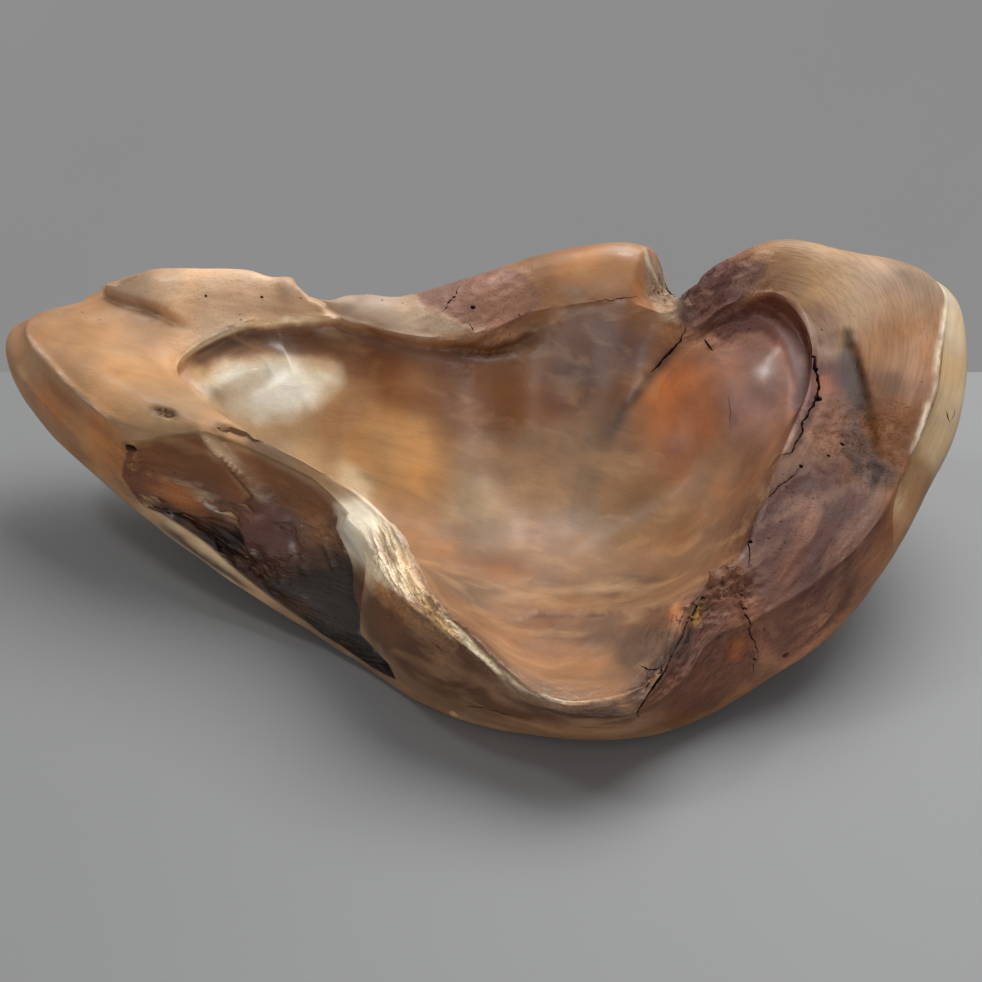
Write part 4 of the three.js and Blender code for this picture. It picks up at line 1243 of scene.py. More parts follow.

# Strokes of stain: path, half width, colour, strength. Those marked below, and those named so, are
# painted shade or painted highlights.
stains = {
    "smear below the notch": (((682, 340), (660, 364), (640, 388), (622, 412), (606, 440)), 3.5,
                              (54, 38, 30), 0.8),
    "smear end": (((622, 410), (602, 446), (590, 490), (586, 530)), 7, (104, 84, 62), 0.5),
    "smear beside": (((645, 362), (618, 392), (598, 430)), 5, (96, 66, 46), 0.5),
    "flow line": (((600, 400), (584, 450), (574, 510), (566, 560)), 2.2, (112, 92, 68), 0.4),
    "flow line 2": (((628, 440), (612, 490), (604, 545)), 2.0, (124, 96, 66), 0.35),
    "grey cloud": (((455, 470), (470, 500), (500, 540)), 11, (140, 124, 100), 0.5),
    "orange cloud": (((430, 540), (470, 560), (520, 572)), 8, (170, 104, 54), 0.45),
    "orange wall": (((370, 395), (430, 404), (520, 400), (600, 392)), 9, (124, 72, 32), 0.5),
    "wall shade": (((345, 340), (400, 352), (460, 358), (520, 352), (560, 335)), 7, (84, 50, 34), 0.6),
    # Painted shadow under the overhanging back lip.
    "painted shadow under the back lip": (((450, 350), (489, 354), (517, 349), (540, 332)), 3.5, (56, 32, 26), 0.8),
    # Painted shade on the steep wall under the pocket's lip.
    "pocket wall in painted shade": (((190, 358), (215, 343), (250, 337), (300, 336), (345, 342)), 5, (74, 42, 18), 0.85),
    "knot ring": (((812, 350), (815, 372), (819, 390), (814, 404), (801, 434), (788, 455), (768, 468)),
                  2.2, (58, 34, 26), 0.7),
    "knot orange end": (((822, 375), (828, 395)), 4, (168, 92, 50), 0.6),
    "seam": (((717, 576), (706, 594), (690, 622), (664, 668), (640, 698), (624, 722)), 3.6,
             (78, 46, 28), 0.8),
    "foot of the seam": (((680, 634), (658, 662), (640, 684), (626, 708)), 5, (58, 34, 22), 0.9),
    "edge of the recess": (((158, 519), (174, 534), (200, 555), (222, 570), (250, 590)), 3,
                           (62, 40, 26), 0.9),
    "pale band": (((486, 600), (540, 592), (600, 590), (640, 584)), 4.5, (180, 144, 108), 0.5),
    "dark cloud": (((455, 548), (490, 560), (530, 562)), 9, (110, 84, 62), 0.5),
    "seam gold": (((702, 602), (698, 612), (692, 626)), 2.2, (176, 128, 66), 0.7),
    "crest of the wedge": (((706, 592), (716, 577), (735, 571)), 2.6, (132, 88, 52), 0.7),
    "wedge seam": (((738, 571), (743, 586), (747, 615), (755, 650), (752, 678)), 1.8,
                   (74, 32, 26), 0.75),
    "wedge orange": (((735, 660), (742, 640)), 4, (170, 96, 48), 0.6),
    "limb crack": (((803, 466), (776, 491), (757, 514), (748, 548)), 1.8, (84, 54, 46), 0.7),
    "limb orange": (((815, 505), (800, 545), (780, 590)), 4, (164, 104, 72), 0.3),
    "limb foot": (((858, 575), (840, 610), (812, 640), (789, 658)), 3, (62, 38, 32), 0.7),
    "limb bark": (((862, 480), (868, 520), (862, 560)), 5, (96, 64, 60), 0.55),
    "orange chip": (((675, 602), (677, 624)), 3.4, (206, 128, 74), 0.85),
    "patch edge": (((472, 625), (536, 616), (600, 614), (646, 609), (676, 607)), 1.6,
                   (92, 58, 42), 0.75),
    "patch mark": (((545, 618), (560, 632), (552, 640)), 2.2, (104, 68, 50), 0.4),
    # Painted glints along the fibrous front lip.
    "painted glints on the front lip": (((500, 672), (530, 692), (560, 701), (604, 702), (619, 700)), 1.1,
                  (244, 214, 172), 0.8),
    "painted glints on the left front lip": (((432, 598), (452, 626), (472, 646), (490, 664), (506, 684)), 1.3,
                 (255, 232, 186), 0.8),
    # Painted shade on the front wall just under the lip.
    "painted shade below the front lip": (((488, 682), (512, 702), (545, 710), (604, 713), (642, 706)), 3.6,
                      (72, 42, 26), 0.85),
    # Painted highlight along the sharp edge of the pocket's lip.
    "painted highlight on the pocket's lip": (((184, 362), (192, 350), (214, 337), (245, 326), (290, 319), (335, 318)), 2.0,
                 (250, 232, 196), 0.95),
    "spur at the recess": (spurPath, 3.0, (232, 204, 168), 0.9),
    "gold pocket": (((190, 366), (205, 380), (230, 392)), 3, (216, 186, 130), 0.6),
    # Pale broken wood of the spur, with painted highlights on its fibres.
    "pale spur": (((384, 524), (398, 550), (414, 580), (425, 604)), 3, (240, 206, 154), 0.7),
    "spur brown": (((378, 530), (386, 552), (392, 566)), 2, (150, 100, 66), 0.6),
    # Painted glints on the fibres past the spur.
    "painted glints past the spur": (((425, 600), (440, 622), (458, 638)), 2, (222, 180, 120), 0.7),
    # Pale edge of the sapwood, with a painted highlight along it.
    "sap edge": (((943, 289), (946, 312), (939, 347), (934, 388), (926, 415), (912, 452)), 1.3,
                 (250, 236, 210), 0.95),
    # Painted highlight along the crease of the nose.
    "crease": (((28, 334), (41, 352), (59, 374), (82, 396), (99, 410), (123, 426)), 1.0,
               (236, 216, 204), 0.7),
    "below the crease": (((40, 372), (62, 396), (90, 420), (118, 440)), 4, (138, 84, 52), 0.5),
    # Painted shade where the lobe steps down onto the nose.
    "painted shade at the lobe's step": (((106, 294), (118, 301), (140, 307), (165, 315)), 1.8, (124, 84, 60), 0.6),
    "nose slit": (((153, 409), (165, 412), (173, 415)), 1.6, (120, 74, 48), 0.85),
    "rim slit": (((217, 426), (238, 433), (256, 441)), 2.0, (116, 74, 48), 0.85),
    "shell line": (((270, 602), (310, 633), (350, 662), (388, 672)), 1.2, (206, 140, 96), 0.5),
    "notch seam": (((679, 288), (682, 308), (686, 328)), 4.2, (42, 27, 22), 0.9),
    "flap edge": (((292, 281), (315, 299), (345, 326)), 1.0, (216, 190, 160), 0.6),
    "lobe reds": (((205, 297), (250, 292)), 2.4, (146, 96, 70), 0.35),
    "block edge": (((645, 248), (648, 262), (656, 280)), 1.4, (238, 220, 190), 0.7),
}

sapTones = {
    "top": ((953, 320), 16, (206, 184, 150)),
    "middle": ((943, 410), 14, (166, 146, 118)),
    "lower": ((920, 488), 12, (122, 90, 58)),
    "end": ((902, 530), 10, (136, 98, 64)),
    "outside": ((225, 60, 90), 40, (190, 160, 120)),
}

# The same for the far wall of the recess.
recessTones = {
    "top left": ((160, 455), 9, (118, 60, 26)),
    "swirl": ((176, 494), 8, (168, 100, 46)),
    "swirl left": ((145, 480), 8, (126, 74, 42)),
    "swirl right": ((208, 470), 8, (124, 80, 52)),
    "rock": ((172, 522), 8, (54, 38, 28)),
    "rock right": ((210, 545), 8, (34, 18, 8)),
    "below the hole": ((238, 575), 9, (60, 30, 12)),
    "mass": ((272, 540), 10, (104, 66, 58)),
    "facet": ((272, 462), 13, (136, 86, 50)),
    "facet right": ((318, 492), 12, (110, 72, 48)),
    "under the ledge": ((318, 530), 8, (150, 106, 72)),
    # The old bark at the deep end of the recess, darkened by painted shade.
    "void": ((328, 590), 18, (56, 48, 42)),
    "void left": ((290, 600), 10, (60, 52, 50)),
    "void low": ((368, 652), 12, (34, 20, 10)),
}
recessStains = {
    "spur": (((202, 432), (214, 448), (235, 473), (255, 492), (272, 509)), 2.2, (255, 240, 214), 1.0),
    "ledge": (((272, 509), (296, 513), (338, 513)), 1.3, (188, 160, 136), 0.7),
    "dark curve": (((172, 478), (190, 479), (206, 486), (221, 507)), 1.8, (54, 30, 20), 0.8),
    "orange curve": (((150, 492), (176, 498), (196, 500)), 3.0, (178, 112, 62), 0.6),
    "under the spur": (((200, 440), (226, 472), (250, 497)), 2.2, (62, 38, 28), 0.6),
    "glint": (((206, 505), (213, 508), (218, 514)), 1.0, (226, 216, 204), 0.8),
    "glint 2": (((158, 519), (170, 520)), 1.3, (200, 186, 176), 0.7),
    "glint 3": (((256, 466), (268, 474)), 1.0, (210, 186, 160), 0.5),
    "glint 4": (((292, 542), (296, 556)), 1.0, (226, 206, 200), 0.6),
    # Painted glints on the top of the purple mass.
    "painted glints on top of the mass": (((250, 520), (272, 514), (292, 522)), 1.6, (158, 122, 120), 0.6),
    "hole shade": (((228, 533), (236, 539), (244, 543)), 5.5, (18, 11, 9), 0.95),
}


def linear(colour):
    values = np.array(colour, float) / 255
    return np.where(values <= 0.04045, values / 12.92, ((values + 0.055) / 1.055) ** 2.4)


def blendTones(points, zones, find):
    # Each tone counts more the nearer it is.
    total, weights = np.zeros((len(points), 3)), np.zeros((len(points), 1))
    for place, radius, colour in zones.values():
        away = np.linalg.norm(points - find(place)[0], axis=1)[:, None]
        weight = 1 / (0.04 + (away / radius) ** 4)
        total += weight * linear(colour)
        weights += weight
    return total / weights


def stained(tone, points, strokes, find):
    for path, width, colour, strength in strokes.values():
        track = evenPath([find(place)[0] for place in path], 2)
        distance, share, _, _ = nearLine(points, track, 4 * width)
        fade = np.clip(np.minimum(share, 1 - share) * 5 + 0.3, 0, 1)
        cover = strength * fade * np.exp(-((distance / width) ** 2))
        tone = tone + (linear(colour) - tone) * cover[:, None]
    return tone


def insideRecess(points):
    # 1 on the walls of the recess's hollow and 0 just outside them.
    rows = rooms["recess_hollow"]
    degrees = np.degrees(np.arctan2(points[:, 1], points[:, 0])) % 360
    held = np.clip(degrees, rows[0][0], rows[-1][0])
    distance, height, halfWidth, halfHeight = alongStrand(rows, held).T
    reach = np.hypot(points[:, 0], points[:, 1])
    size = np.hypot((reach - distance) / halfWidth, (points[:, 2] - height) / halfHeight)
    edge = recess["edge"]
    return np.clip((edge["size"] - size) / edge["fade"], 0, 1) * (held == degrees)


def paintedTone(points):
    tone = blendTones(warped(points, *breakUps["tones"]), tones, spot)
    nudged = warped(points, *breakUps["strokes"])
    for corners, softness, colour, strength in areas.values():
        cover = strength * insideOutline(nudged, corners, softness)
        tone += (linear(colour) - tone) * cover[:, None]
    tone = stained(tone, nudged, stains, spot)
    inside = insideRecess(points)
    dark = np.flatnonzero(inside)
    if len(dark):
        bark = blendTones(warped(points[dark], *breakUps["bark"]), recessTones, recessSpot)
        nudged = warped(points[dark], *breakUps["strokes on bark"])
        bark = stained(bark, nudged, recessStains, recessSpot)
        tone[dark] += (bark - tone[dark]) * inside[dark, None]
    return tone


def mottled(tone, points):
    # Clouds of lighter and darker, redder and greyer wood.
    light = layeredNoise(points, clouds["lightSize"], 4, 51)[:, None]
    warm = layeredNoise(points, clouds["warmSize"], 3, 61)[:, None]
    return tone * (1 + clouds["light"] * light) * (1 + warm * np.array(clouds["warm"]))


# Where the painted shade of a crack lies, in shares of its depth, how far it reaches and spreads, and
# the depth from which it is full. The painted shade of a pit is a ball at this share of the pit's depth.
darkness = {"sinks": (0.5, 1.0), "reach": 8, "spread": 0.8, "fullDepth": 4, "pit": 0.6}


def crackShade(points):
    # Painted shade: 1 deep inside the open cracks and pits, fading out towards their edges.
    shade = np.zeros(len(points))
    for path, halfWidth, depth, _ in cracks.values():
        surface, facing = ontoWood(line(path))
        full = min(1, depth / darkness["fullDepth"])
        for sink in darkness["sinks"]:
            distance = nearLine(points, surface - facing * depth * sink, darkness["reach"])[0]
            cover = full * np.exp(-((distance / (halfWidth + darkness["spread"])) ** 2))
            shade = np.maximum(shade, cover)
    for place, _, depth in pits.values():
        (point,), (facing,) = ontoWood([spot(place)[0]])
        away = np.linalg.norm(points - (point - facing * depth * darkness["pit"]), axis=1)
        shade = np.maximum(shade, np.exp(-((away / (darkness["pit"] * depth)) ** 4)))
    return shade


wear = {"recess": 0.4, "fullHeight": 1.5}  # share in the recess, fibre height that is fully worn


def wornShare(points):
    # How rough and dull the surface is, up to 1 in the middle of the roughest patches.
    worn = wear["recess"] * insideRecess(points)
    for place, _, radius, height, _, _ in carving["roughPatches"]:
        away = np.linalg.norm(points - spot(place)[0], axis=1)
        most = min(1, height / wear["fullHeight"])
        worn = np.maximum(worn, most * np.exp(-((away / radius) ** 4)))
    return worn


polishedSpots = [((285, 388), 34), ((766, 370), 12), ((80, 330), 20), ((600, 262), 20)]


def shineShare(points):
    # How glossy the polish is: 1 in the middle of each polished spot, given by place and radius.
    shine = np.zeros(len(points))
    for place, radius in polishedSpots:
        away = np.linalg.norm(points - spot(place)[0], axis=1)
        shine = np.maximum(shine, np.exp(-((away / radius) ** 4)))
    return shine


strandRadius = 150  # turns degrees round the bowl into length along a strand
bodyGrain = {"middle": (40, 30, -30), "along": (-0.94, 0.32, 0.1), "up": (0, 0, 1)}


def strandGrain(points, rows):
    # Coordinates that run with a strand: length along it, then out from and up from its middle.
    angle = np.degrees(np.arctan2(points[:, 1], points[:, 0]))
    middle = (rows[0][0] + rows[-1][0]) / 2
    angle = middle + (angle - middle + 180) % 360 - 180
    degrees = np.clip(angle, rows[0][0], rows[-1][0])
    distance, height = alongStrand(rows, degrees)[:, :2].T
    reach = np.hypot(points[:, 0], points[:, 1])
    run = np.radians(angle) * strandRadius
    return np.stack([run, reach - distance, points[:, 2] - height], -1)


def straightGrain(points, along, up):
    along = np.array(along, float) / np.linalg.norm(along)
    side = np.cross(up, along)
    side /= np.linalg.norm(side)
    return points @ np.stack([along, side, np.cross(along, side)], -1)


def grainOf(name, points):
    if name in rooms and name != "recess_bark":
        return strandGrain(points, rooms[name])
    if name == "front_wedge":
        return strandGrain(points, rooms["right_limb"])
    if name == "knot":
        return straightGrain(points - knot["middle"], knot["facing"], knot["uphill"])
    return straightGrain(points - bodyGrain["middle"], bodyGrain["along"], bodyGrain["up"])


def setAttribute(mesh, name, kind, values):
    layer = mesh.attributes.new(name, kind, "POINT")
    field = {"FLOAT_COLOR": "color", "FLOAT_VECTOR": "vector", "FLOAT": "value"}[kind]
    layer.data.foreach_set(field, np.asarray(values, np.float32).ravel())


# Shader groups


def newGroup(name, inputs, outputs):
    group = bpy.data.node_groups.new(name, "ShaderNodeTree")
    for label, kind, value in inputs:
        socket = group.interface.new_socket(name=label, in_out="INPUT", socket_type=kind)
        if value is not None:
            socket.default_value = value
    for label, kind in outputs:
        group.interface.new_socket(name=label, in_out="OUTPUT", socket_type=kind)
    return group, group.nodes.new("NodeGroupInput"), group.nodes.new("NodeGroupOutput")


def node(tree, kind, settings=None, **links):
    # Adds a node, sets its fields, and links or sets its inputs, named with _ for a space.
    made = tree.nodes.new(kind)
    for field, value in (settings or {}).items():
        setattr(made, field, value)
    for label, source in links.items():
        key = int(label[1:]) if label[0] == "i" and label[1:].isdigit() else label.replace("_", " ")
        socket = made.inputs[key]
        if isinstance(source, bpy.types.NodeSocket):
            tree.links.new(source, socket)
        else:
            socket.default_value = source
    return made


def maths(tree, operation, a, b=0.0, clamp=False):
    settings = {"operation": operation, "use_clamp": clamp}
    return node(tree, "ShaderNodeMath", settings, i0=a, i1=b).outputs[0]


def scaled(tree, vector, factors):
    return node(tree, "ShaderNodeVectorMath", {"operation": "MULTIPLY"}, i0=vector, i1=factors).outputs[0]


def noise(tree, vector, scale, detail=3.0, distortion=0.0):
    settings = {"Scale": scale, "Detail": detail, "Distortion": distortion}
    return node(tree, "ShaderNodeTexNoise", None, Vector=vector, **settings).outputs[0]


def spread(tree, value, low, high, toLow=0.0, toHigh=1.0):
    made = node(tree, "ShaderNodeMapRange", None, Value=value)
    for k, limit in enumerate((low, high, toLow, toHigh)):
        made.inputs[k + 1].default_value = limit
    return made.outputs[0]


def mixed(tree, blend, factor, a, b):
    made = node(tree, "ShaderNodeMix", {"data_type": "RGBA", "blend_type": blend})
    for key, source in ((0, factor), (6, a), (7, b)):
        if isinstance(source, bpy.types.NodeSocket):
            tree.links.new(source, made.inputs[key])
        else:
            made.inputs[key].default_value = source
    return made.outputs[2]


def buildGrainGroup():
    # Growth rings, fibres and cloudy mottling, all in grain coordinates (millimetres).
    inputs = [
        ("Grain", "NodeSocketVector", None),
        ("Ring Width", "NodeSocketFloat", 6.0),
        ("Fibre Width", "NodeSocketFloat", 0.8),
    ]
    outputs = [(label, "NodeSocketFloat") for label in ("Rings", "Fibres", "Mottle")]
    group, start, end = newGroup("rootGrain", inputs, outputs)
    grain = start.outputs["Grain"]
    slow = scaled(group, grain, (0.01, 0.025, 0.025))
    drift = node(group, "ShaderNodeTexNoise", None, Vector=slow, Scale=1.0, Detail=3.0).outputs[1]
    centred = {"operation": "SUBTRACT"}
    shift = node(group, "ShaderNodeVectorMath", centred, i0=drift, i1=(0.5, 0.5, 0.5)).outputs[0]
    push = scaled(group, shift, (14.0, 14.0, 14.0))
    wavy = node(group, "ShaderNodeVectorMath", {"operation": "ADD"}, i0=grain, i1=push).outputs[0]
    flat = scaled(group, wavy, (0.04, 1.0, 1.0))
    radius = node(group, "ShaderNodeVectorMath", {"operation": "LENGTH"}, i0=flat).outputs["Value"]
    turns = maths(group, "DIVIDE", radius, start.outputs["Ring Width"])
    wave = maths(group, "SINE", maths(group, "MULTIPLY", turns, 2 * math.pi))
    group.links.new(spread(group, wave, -1.0, 1.0), end.inputs["Rings"])
    fibreScale = maths(group, "DIVIDE", 1.0, start.outputs["Fibre Width"])
    streaks = scaled(group, wavy, (0.06, 1.0, 1.0))
    fibre = noise(group, streaks, fibreScale, 3.5)
    group.links.new(spread(group, fibre, 0.3, 0.7), end.inputs["Fibres"])
    cloud = noise(group, scaled(group, wavy, (0.03, 0.07, 0.07)), 1.0, 5.0, 0.5)
    group.links.new(spread(group, cloud, 0.28, 0.72), end.inputs["Mottle"])
    return group


def buildPitsGroup():
    # Small dark pores and worn flecks on the surface, in object coordinates (metres).
    inputs = [
        ("Place", "NodeSocketVector", None),
        ("Pore Size", "NodeSocketFloat", 1.2),
        ("Amount", "NodeSocketFloat", 0.5),
    ]
    outputs = [(label, "NodeSocketFloat") for label in ("Pores", "Flecks")]
    group, start, end = newGroup("poresAndFlecks", inputs, outputs)
    place = scaled(group, start.outputs["Place"], (1000.0, 1000.0, 1000.0))
    warp = node(group, "ShaderNodeTexNoise", None, Vector=place, Scale=0.25, Detail=2.0).outputs[1]
    push = scaled(group, warp, (3.0, 3.0, 3.0))
    bent = node(group, "ShaderNodeVectorMath", {"operation": "ADD"}, i0=push, i1=place).outputs[0]
    cell = node(group, "ShaderNodeTexVoronoi", {"feature": "F1"}, Vector=bent, Randomness=1.0)
    group.links.new(maths(group, "DIVIDE", 0.22, start.outputs["Pore Size"]), cell.inputs["Scale"])
    dot = spread(group, cell.outputs["Distance"], 0.16, 0.06)
    where = noise(group, place, 0.045, 3.0)
    less = maths(group, "MULTIPLY", start.outputs["Amount"], 0.4)
    chosen = node(group, "ShaderNodeMapRange", None, Value=where)
    group.links.new(maths(group, "SUBTRACT", 0.78, less), chosen.inputs[1])
    group.links.new(maths(group, "SUBTRACT", 0.86, less), chosen.inputs[2])
    group.links.new(maths(group, "MULTIPLY", dot, chosen.outputs[0]), end.inputs["Pores"])
    group.links.new(spread(group, noise(group, place, 0.7, 4.0), 0.5, 0.7), end.inputs["Flecks"])
    return group


grainGroup = buildGrainGroup()
poresGroup = buildPitsGroup()


# What the rings, fibres, flecks, pores and painted shade of the cracks do to the colour: the first
# three multiply it and the last two cover it, in full or by the share that follows.
marksOnWood = {
    "ring": (0.6, 0.45, 0.38, 1),
    "fibre": (0.6, 0.5, 0.45, 1),
    "fleck": (0.35, 0.28, 0.26, 1),
    "fleckShare": 0.55,
    "pore": (0.02, 0.012, 0.009, 1),
    "poreShare": 0.8,
    # Near black painted shade for the inside of the cracks and pits.
    "crack_shade": (0.012, 0.008, 0.006, 1),
    "crackShadeShare": 0.92,
}
# What the painted shade of the cracks and wear add to the roughness and polish takes off, and what
# polish adds to the coat.
finish = {"crack_shade": 0.4, "worn": 0.2, "polish": 0.16, "polishCoat": 0.85}
# Depths in millimetres of the pores, and of the flecks where the wood is worn.
depths = {"pore": 0.5, "wornFleck": 0.2}


def woodMaterial(name, look):
    # The painted tone, streaked and mottled along the grain, with pores, painted shade in the cracks and
    # pits, and a thin varnish.
    material = bpy.data.materials.new(name)
    material.use_nodes = True
    tree = material.node_tree
    shader = tree.nodes["Principled BSDF"]
    tone = node(tree, "ShaderNodeAttribute", {"attribute_name": "tone"}).outputs["Color"]
    grain = node(tree, "ShaderNodeAttribute", {"attribute_name": "grain"}).outputs["Vector"]
    crack_shade = node(tree, "ShaderNodeAttribute", {"attribute_name": "crack_shade"}).outputs["Fac"]
    worn = node(tree, "ShaderNodeAttribute", {"attribute_name": "worn"}).outputs["Fac"]
    shine = node(tree, "ShaderNodeAttribute", {"attribute_name": "shine"}).outputs["Fac"]
    place = node(tree, "ShaderNodeTexCoord").outputs["Object"]
    widths = {"Ring_Width": look["ringWidth"], "Fibre_Width": look["fibreWidth"]}
    lines = node(tree, "ShaderNodeGroup", {"node_tree": grainGroup}, Grain=grain, **widths).outputs
    sizes = {"Pore_Size": look["poreSize"], "Amount": look["pores"]}
    marks = node(tree, "ShaderNodeGroup", {"node_tree": poresGroup}, Place=place, **sizes).outputs
    dark, light = ((*linear(colour), 1) for colour in (look["dark"], look["light"]))

    deep = spread(tree, lines["Mottle"], 0.55, 1.0, 0.0, look["mottle"])
    pale = spread(tree, lines["Mottle"], 0.45, 0.0, 0.0, look["mottle"])
    colour = mixed(tree, "MIX", deep, tone, dark)
    colour = mixed(tree, "MIX", pale, colour, light)
    rings = spread(tree, lines["Rings"], 0.45, 1.0, 0.0, look["rings"])
    colour = mixed(tree, "MULTIPLY", rings, colour, marksOnWood["ring"])
    fibres = spread(tree, lines["Fibres"], 0.35, 1.0, 0.0, look["fibres"])
    colour = mixed(tree, "MULTIPLY", fibres, colour, marksOnWood["fibre"])
    wornFlecks = maths(tree, "MULTIPLY", worn, marksOnWood["fleckShare"])
    speckle = maths(tree, "MULTIPLY", marks["Flecks"], wornFlecks)
    colour = mixed(tree, "MULTIPLY", speckle, colour, marksOnWood["fleck"])
    holes = maths(tree, "MULTIPLY", marks["Pores"], marksOnWood["poreShare"])
    colour = mixed(tree, "MIX", holes, colour, marksOnWood["pore"])
    # Covers the cracks and pits with painted shade.
    crackShadeCover = maths(tree, "MULTIPLY", crack_shade, marksOnWood["crackShadeShare"])
    colour = mixed(tree, "MIX", crackShadeCover, colour, marksOnWood["crack_shade"])
    tree.links.new(colour, shader.inputs["Base Color"])

    gloss = spread(tree, lines["Mottle"], 0.0, 1.0, look["roughness"] - 0.06, look["roughness"] + 0.08)
    crackShadeDull = maths(tree, "MULTIPLY", crack_shade, finish["crack_shade"])
    dull = maths(tree, "ADD", crackShadeDull, maths(tree, "MULTIPLY", worn, finish["worn"]))
    smoother = maths(tree, "SUBTRACT", dull, maths(tree, "MULTIPLY", shine, finish["polish"]))
    tree.links.new(maths(tree, "ADD", gloss, smoother, clamp=True), shader.inputs["Roughness"])
    shineCoat = maths(tree, "MULTIPLY", shine, finish["polishCoat"])
    coat = maths(tree, "ADD", shineCoat, look["coat"], clamp=True)
    tree.links.new(coat, shader.inputs["Coat Weight"])
    shader.inputs["Coat Roughness"].default_value = look["coatRoughness"]
    shader.inputs["Specular IOR Level"].default_value = look["specular"]

    wornDepth = maths(tree, "MULTIPLY", worn, depths["wornFleck"])
    fleckDepth = maths(tree, "ADD", look["fleckDepth"], wornDepth)
    height = maths(tree, "MULTIPLY", lines["Fibres"], -look["fibreDepth"])
    height = maths(tree, "SUBTRACT", height, maths(tree, "MULTIPLY", marks["Pores"], depths["pore"]))
    height = maths(tree, "SUBTRACT", height, maths(tree, "MULTIPLY", marks["Flecks"], fleckDepth))
    bump = node(tree, "ShaderNodeBump", None, Height=height, Distance=mm, Strength=1.0)
    tree.links.new(bump.outputs[0], shader.inputs["Normal"])
    return material


# Widths and depths in millimetres, colours as they read in plain light.
polished = {
    "ringWidth": 11, "fibreWidth": 0.8, "poreSize": 1.0, "pores": 0.25,
    "dark": (116, 72, 42), "light": (208, 164, 118), "mottle": 0.3, "rings": 0.1, "fibres": 0.2,
    "roughness": 0.46, "specular": 0.45, "coat": 0.1, "coatRoughness": 0.24,
    "fibreDepth": 0.03, "fleckDepth": 0.02,
}
looks = {
    "root_body": {**polished, "slot": "root_wood"},
    "knot": {**polished, "slot": "knot_wood", "dark": (100, 52, 36), "light": (196, 128, 80)},
    "front_patch": {**polished, "slot": "patch_wood", "dark": (108, 76, 58), "light": (204, 164, 124)},
    "sapwood_end": {
        **polished, "slot": "sapwood", "dark": (150, 112, 76), "light": (236, 220, 186),
        "fibreWidth": 1.4, "fibres": 0.25,
    },
    "back_strand": {
        **polished, "slot": "strand_wood", "dark": (114, 82, 66), "light": (200, 166, 132), "pores": 0.5,
        "roughness": 0.5, "coat": 0.1,
    },
    "left_lobe": {
        **polished, "slot": "lobe_wood", "dark": (132, 96, 70), "light": (206, 174, 138), "pores": 0.45,
        "roughness": 0.46, "coat": 0.2,
    },
    "right_limb": {
        **polished, "slot": "limb_wood", "dark": (92, 58, 50), "light": (184, 138, 108), "fibres": 0.45,
        "fibreWidth": 1.5, "fibreDepth": 0.1, "pores": 0.5,
        "roughness": 0.52, "specular": 0.28, "coat": 0.03,
    },
    "front_wedge": {
        **polished, "slot": "wedge_wood", "dark": (70, 42, 34), "light": (156, 106, 74), "fibres": 0.5,
        "fibreWidth": 1.4, "fibreDepth": 0.3, "pores": 0.6,
        "roughness": 0.5, "specular": 0.3, "coat": 0.05,
    },
    "recess_bark": {
        **polished, "slot": "old_bark", "dark": (40, 24, 20), "light": (150, 100, 66), "mottle": 0.35,
        "fibres": 0.5, "fibreWidth": 1.6, "fibreDepth": 0.3, "pores": 0.6, "roughness": 0.45, "coat": 0.2,
    },
    "under_root": {**polished, "slot": "under_wood"},
    "filler": {
        **polished, "slot": "crack_filler", "dark": (12, 9, 8), "light": (46, 32, 26), "fibres": 0.4,
        "mottle": 0.8, "roughness": 0.7, "coat": 0.0, "fleckDepth": 0.3,
    },
}
pegLook = {
    "grainScale": (900.0, 900.0, 120.0), "ringWidth": 2.0, "fibreWidth": 0.5,
    "dark": (150, 112, 72), "light": (200, 164, 118), "roughness": (0.5, 0.7),
}


def dress(name, thing, look):
    # Paints the piece's points, gives it its material and ties it to the part.
    points = pointsOf(thing)
    mesh = thing.data
    thing.name = mesh.name = name + "_wood"
    if name in cracks:
        tone = np.tile(linear(fillerTone), (len(points), 1))
    elif name == "sapwood_end":
        tone = blendTones(warped(points, *breakUps["sapwood"]), sapTones, spot)
        tone = stained(tone, points, stains, spot)
    else:
        tone = paintedTone(points)
    tone = np.clip(mottled(tone, points), 0, 1)
    setAttribute(mesh, "tone", "FLOAT_COLOR", np.concatenate([tone, np.ones((len(points), 1))], 1))
    setAttribute(mesh, "grain", "FLOAT_VECTOR", grainOf(name, points))
    # Painted shade in the cracks and pits.
    setAttribute(mesh, "crack_shade", "FLOAT", crackShade(points))
    setAttribute(mesh, "worn", "FLOAT", wornShare(points))
    setAttribute(mesh, "shine", "FLOAT", shineShare(points))
    mesh.shade_smooth()
    mesh.set_sharp_from_angle(angle=math.radians(creaseAngle))
    mesh.materials.clear()
    mesh.materials.append(woodMaterial(name + "Wood", look))
    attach(thing, "root")
    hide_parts(name)


for name, thing in pieces.items():
    dress(name, thing, looks["filler"] if name in cracks else looks[name])
print("pieces dressed:", sum(len(thing.data.polygons) for thing in pieces.values()), "faces")


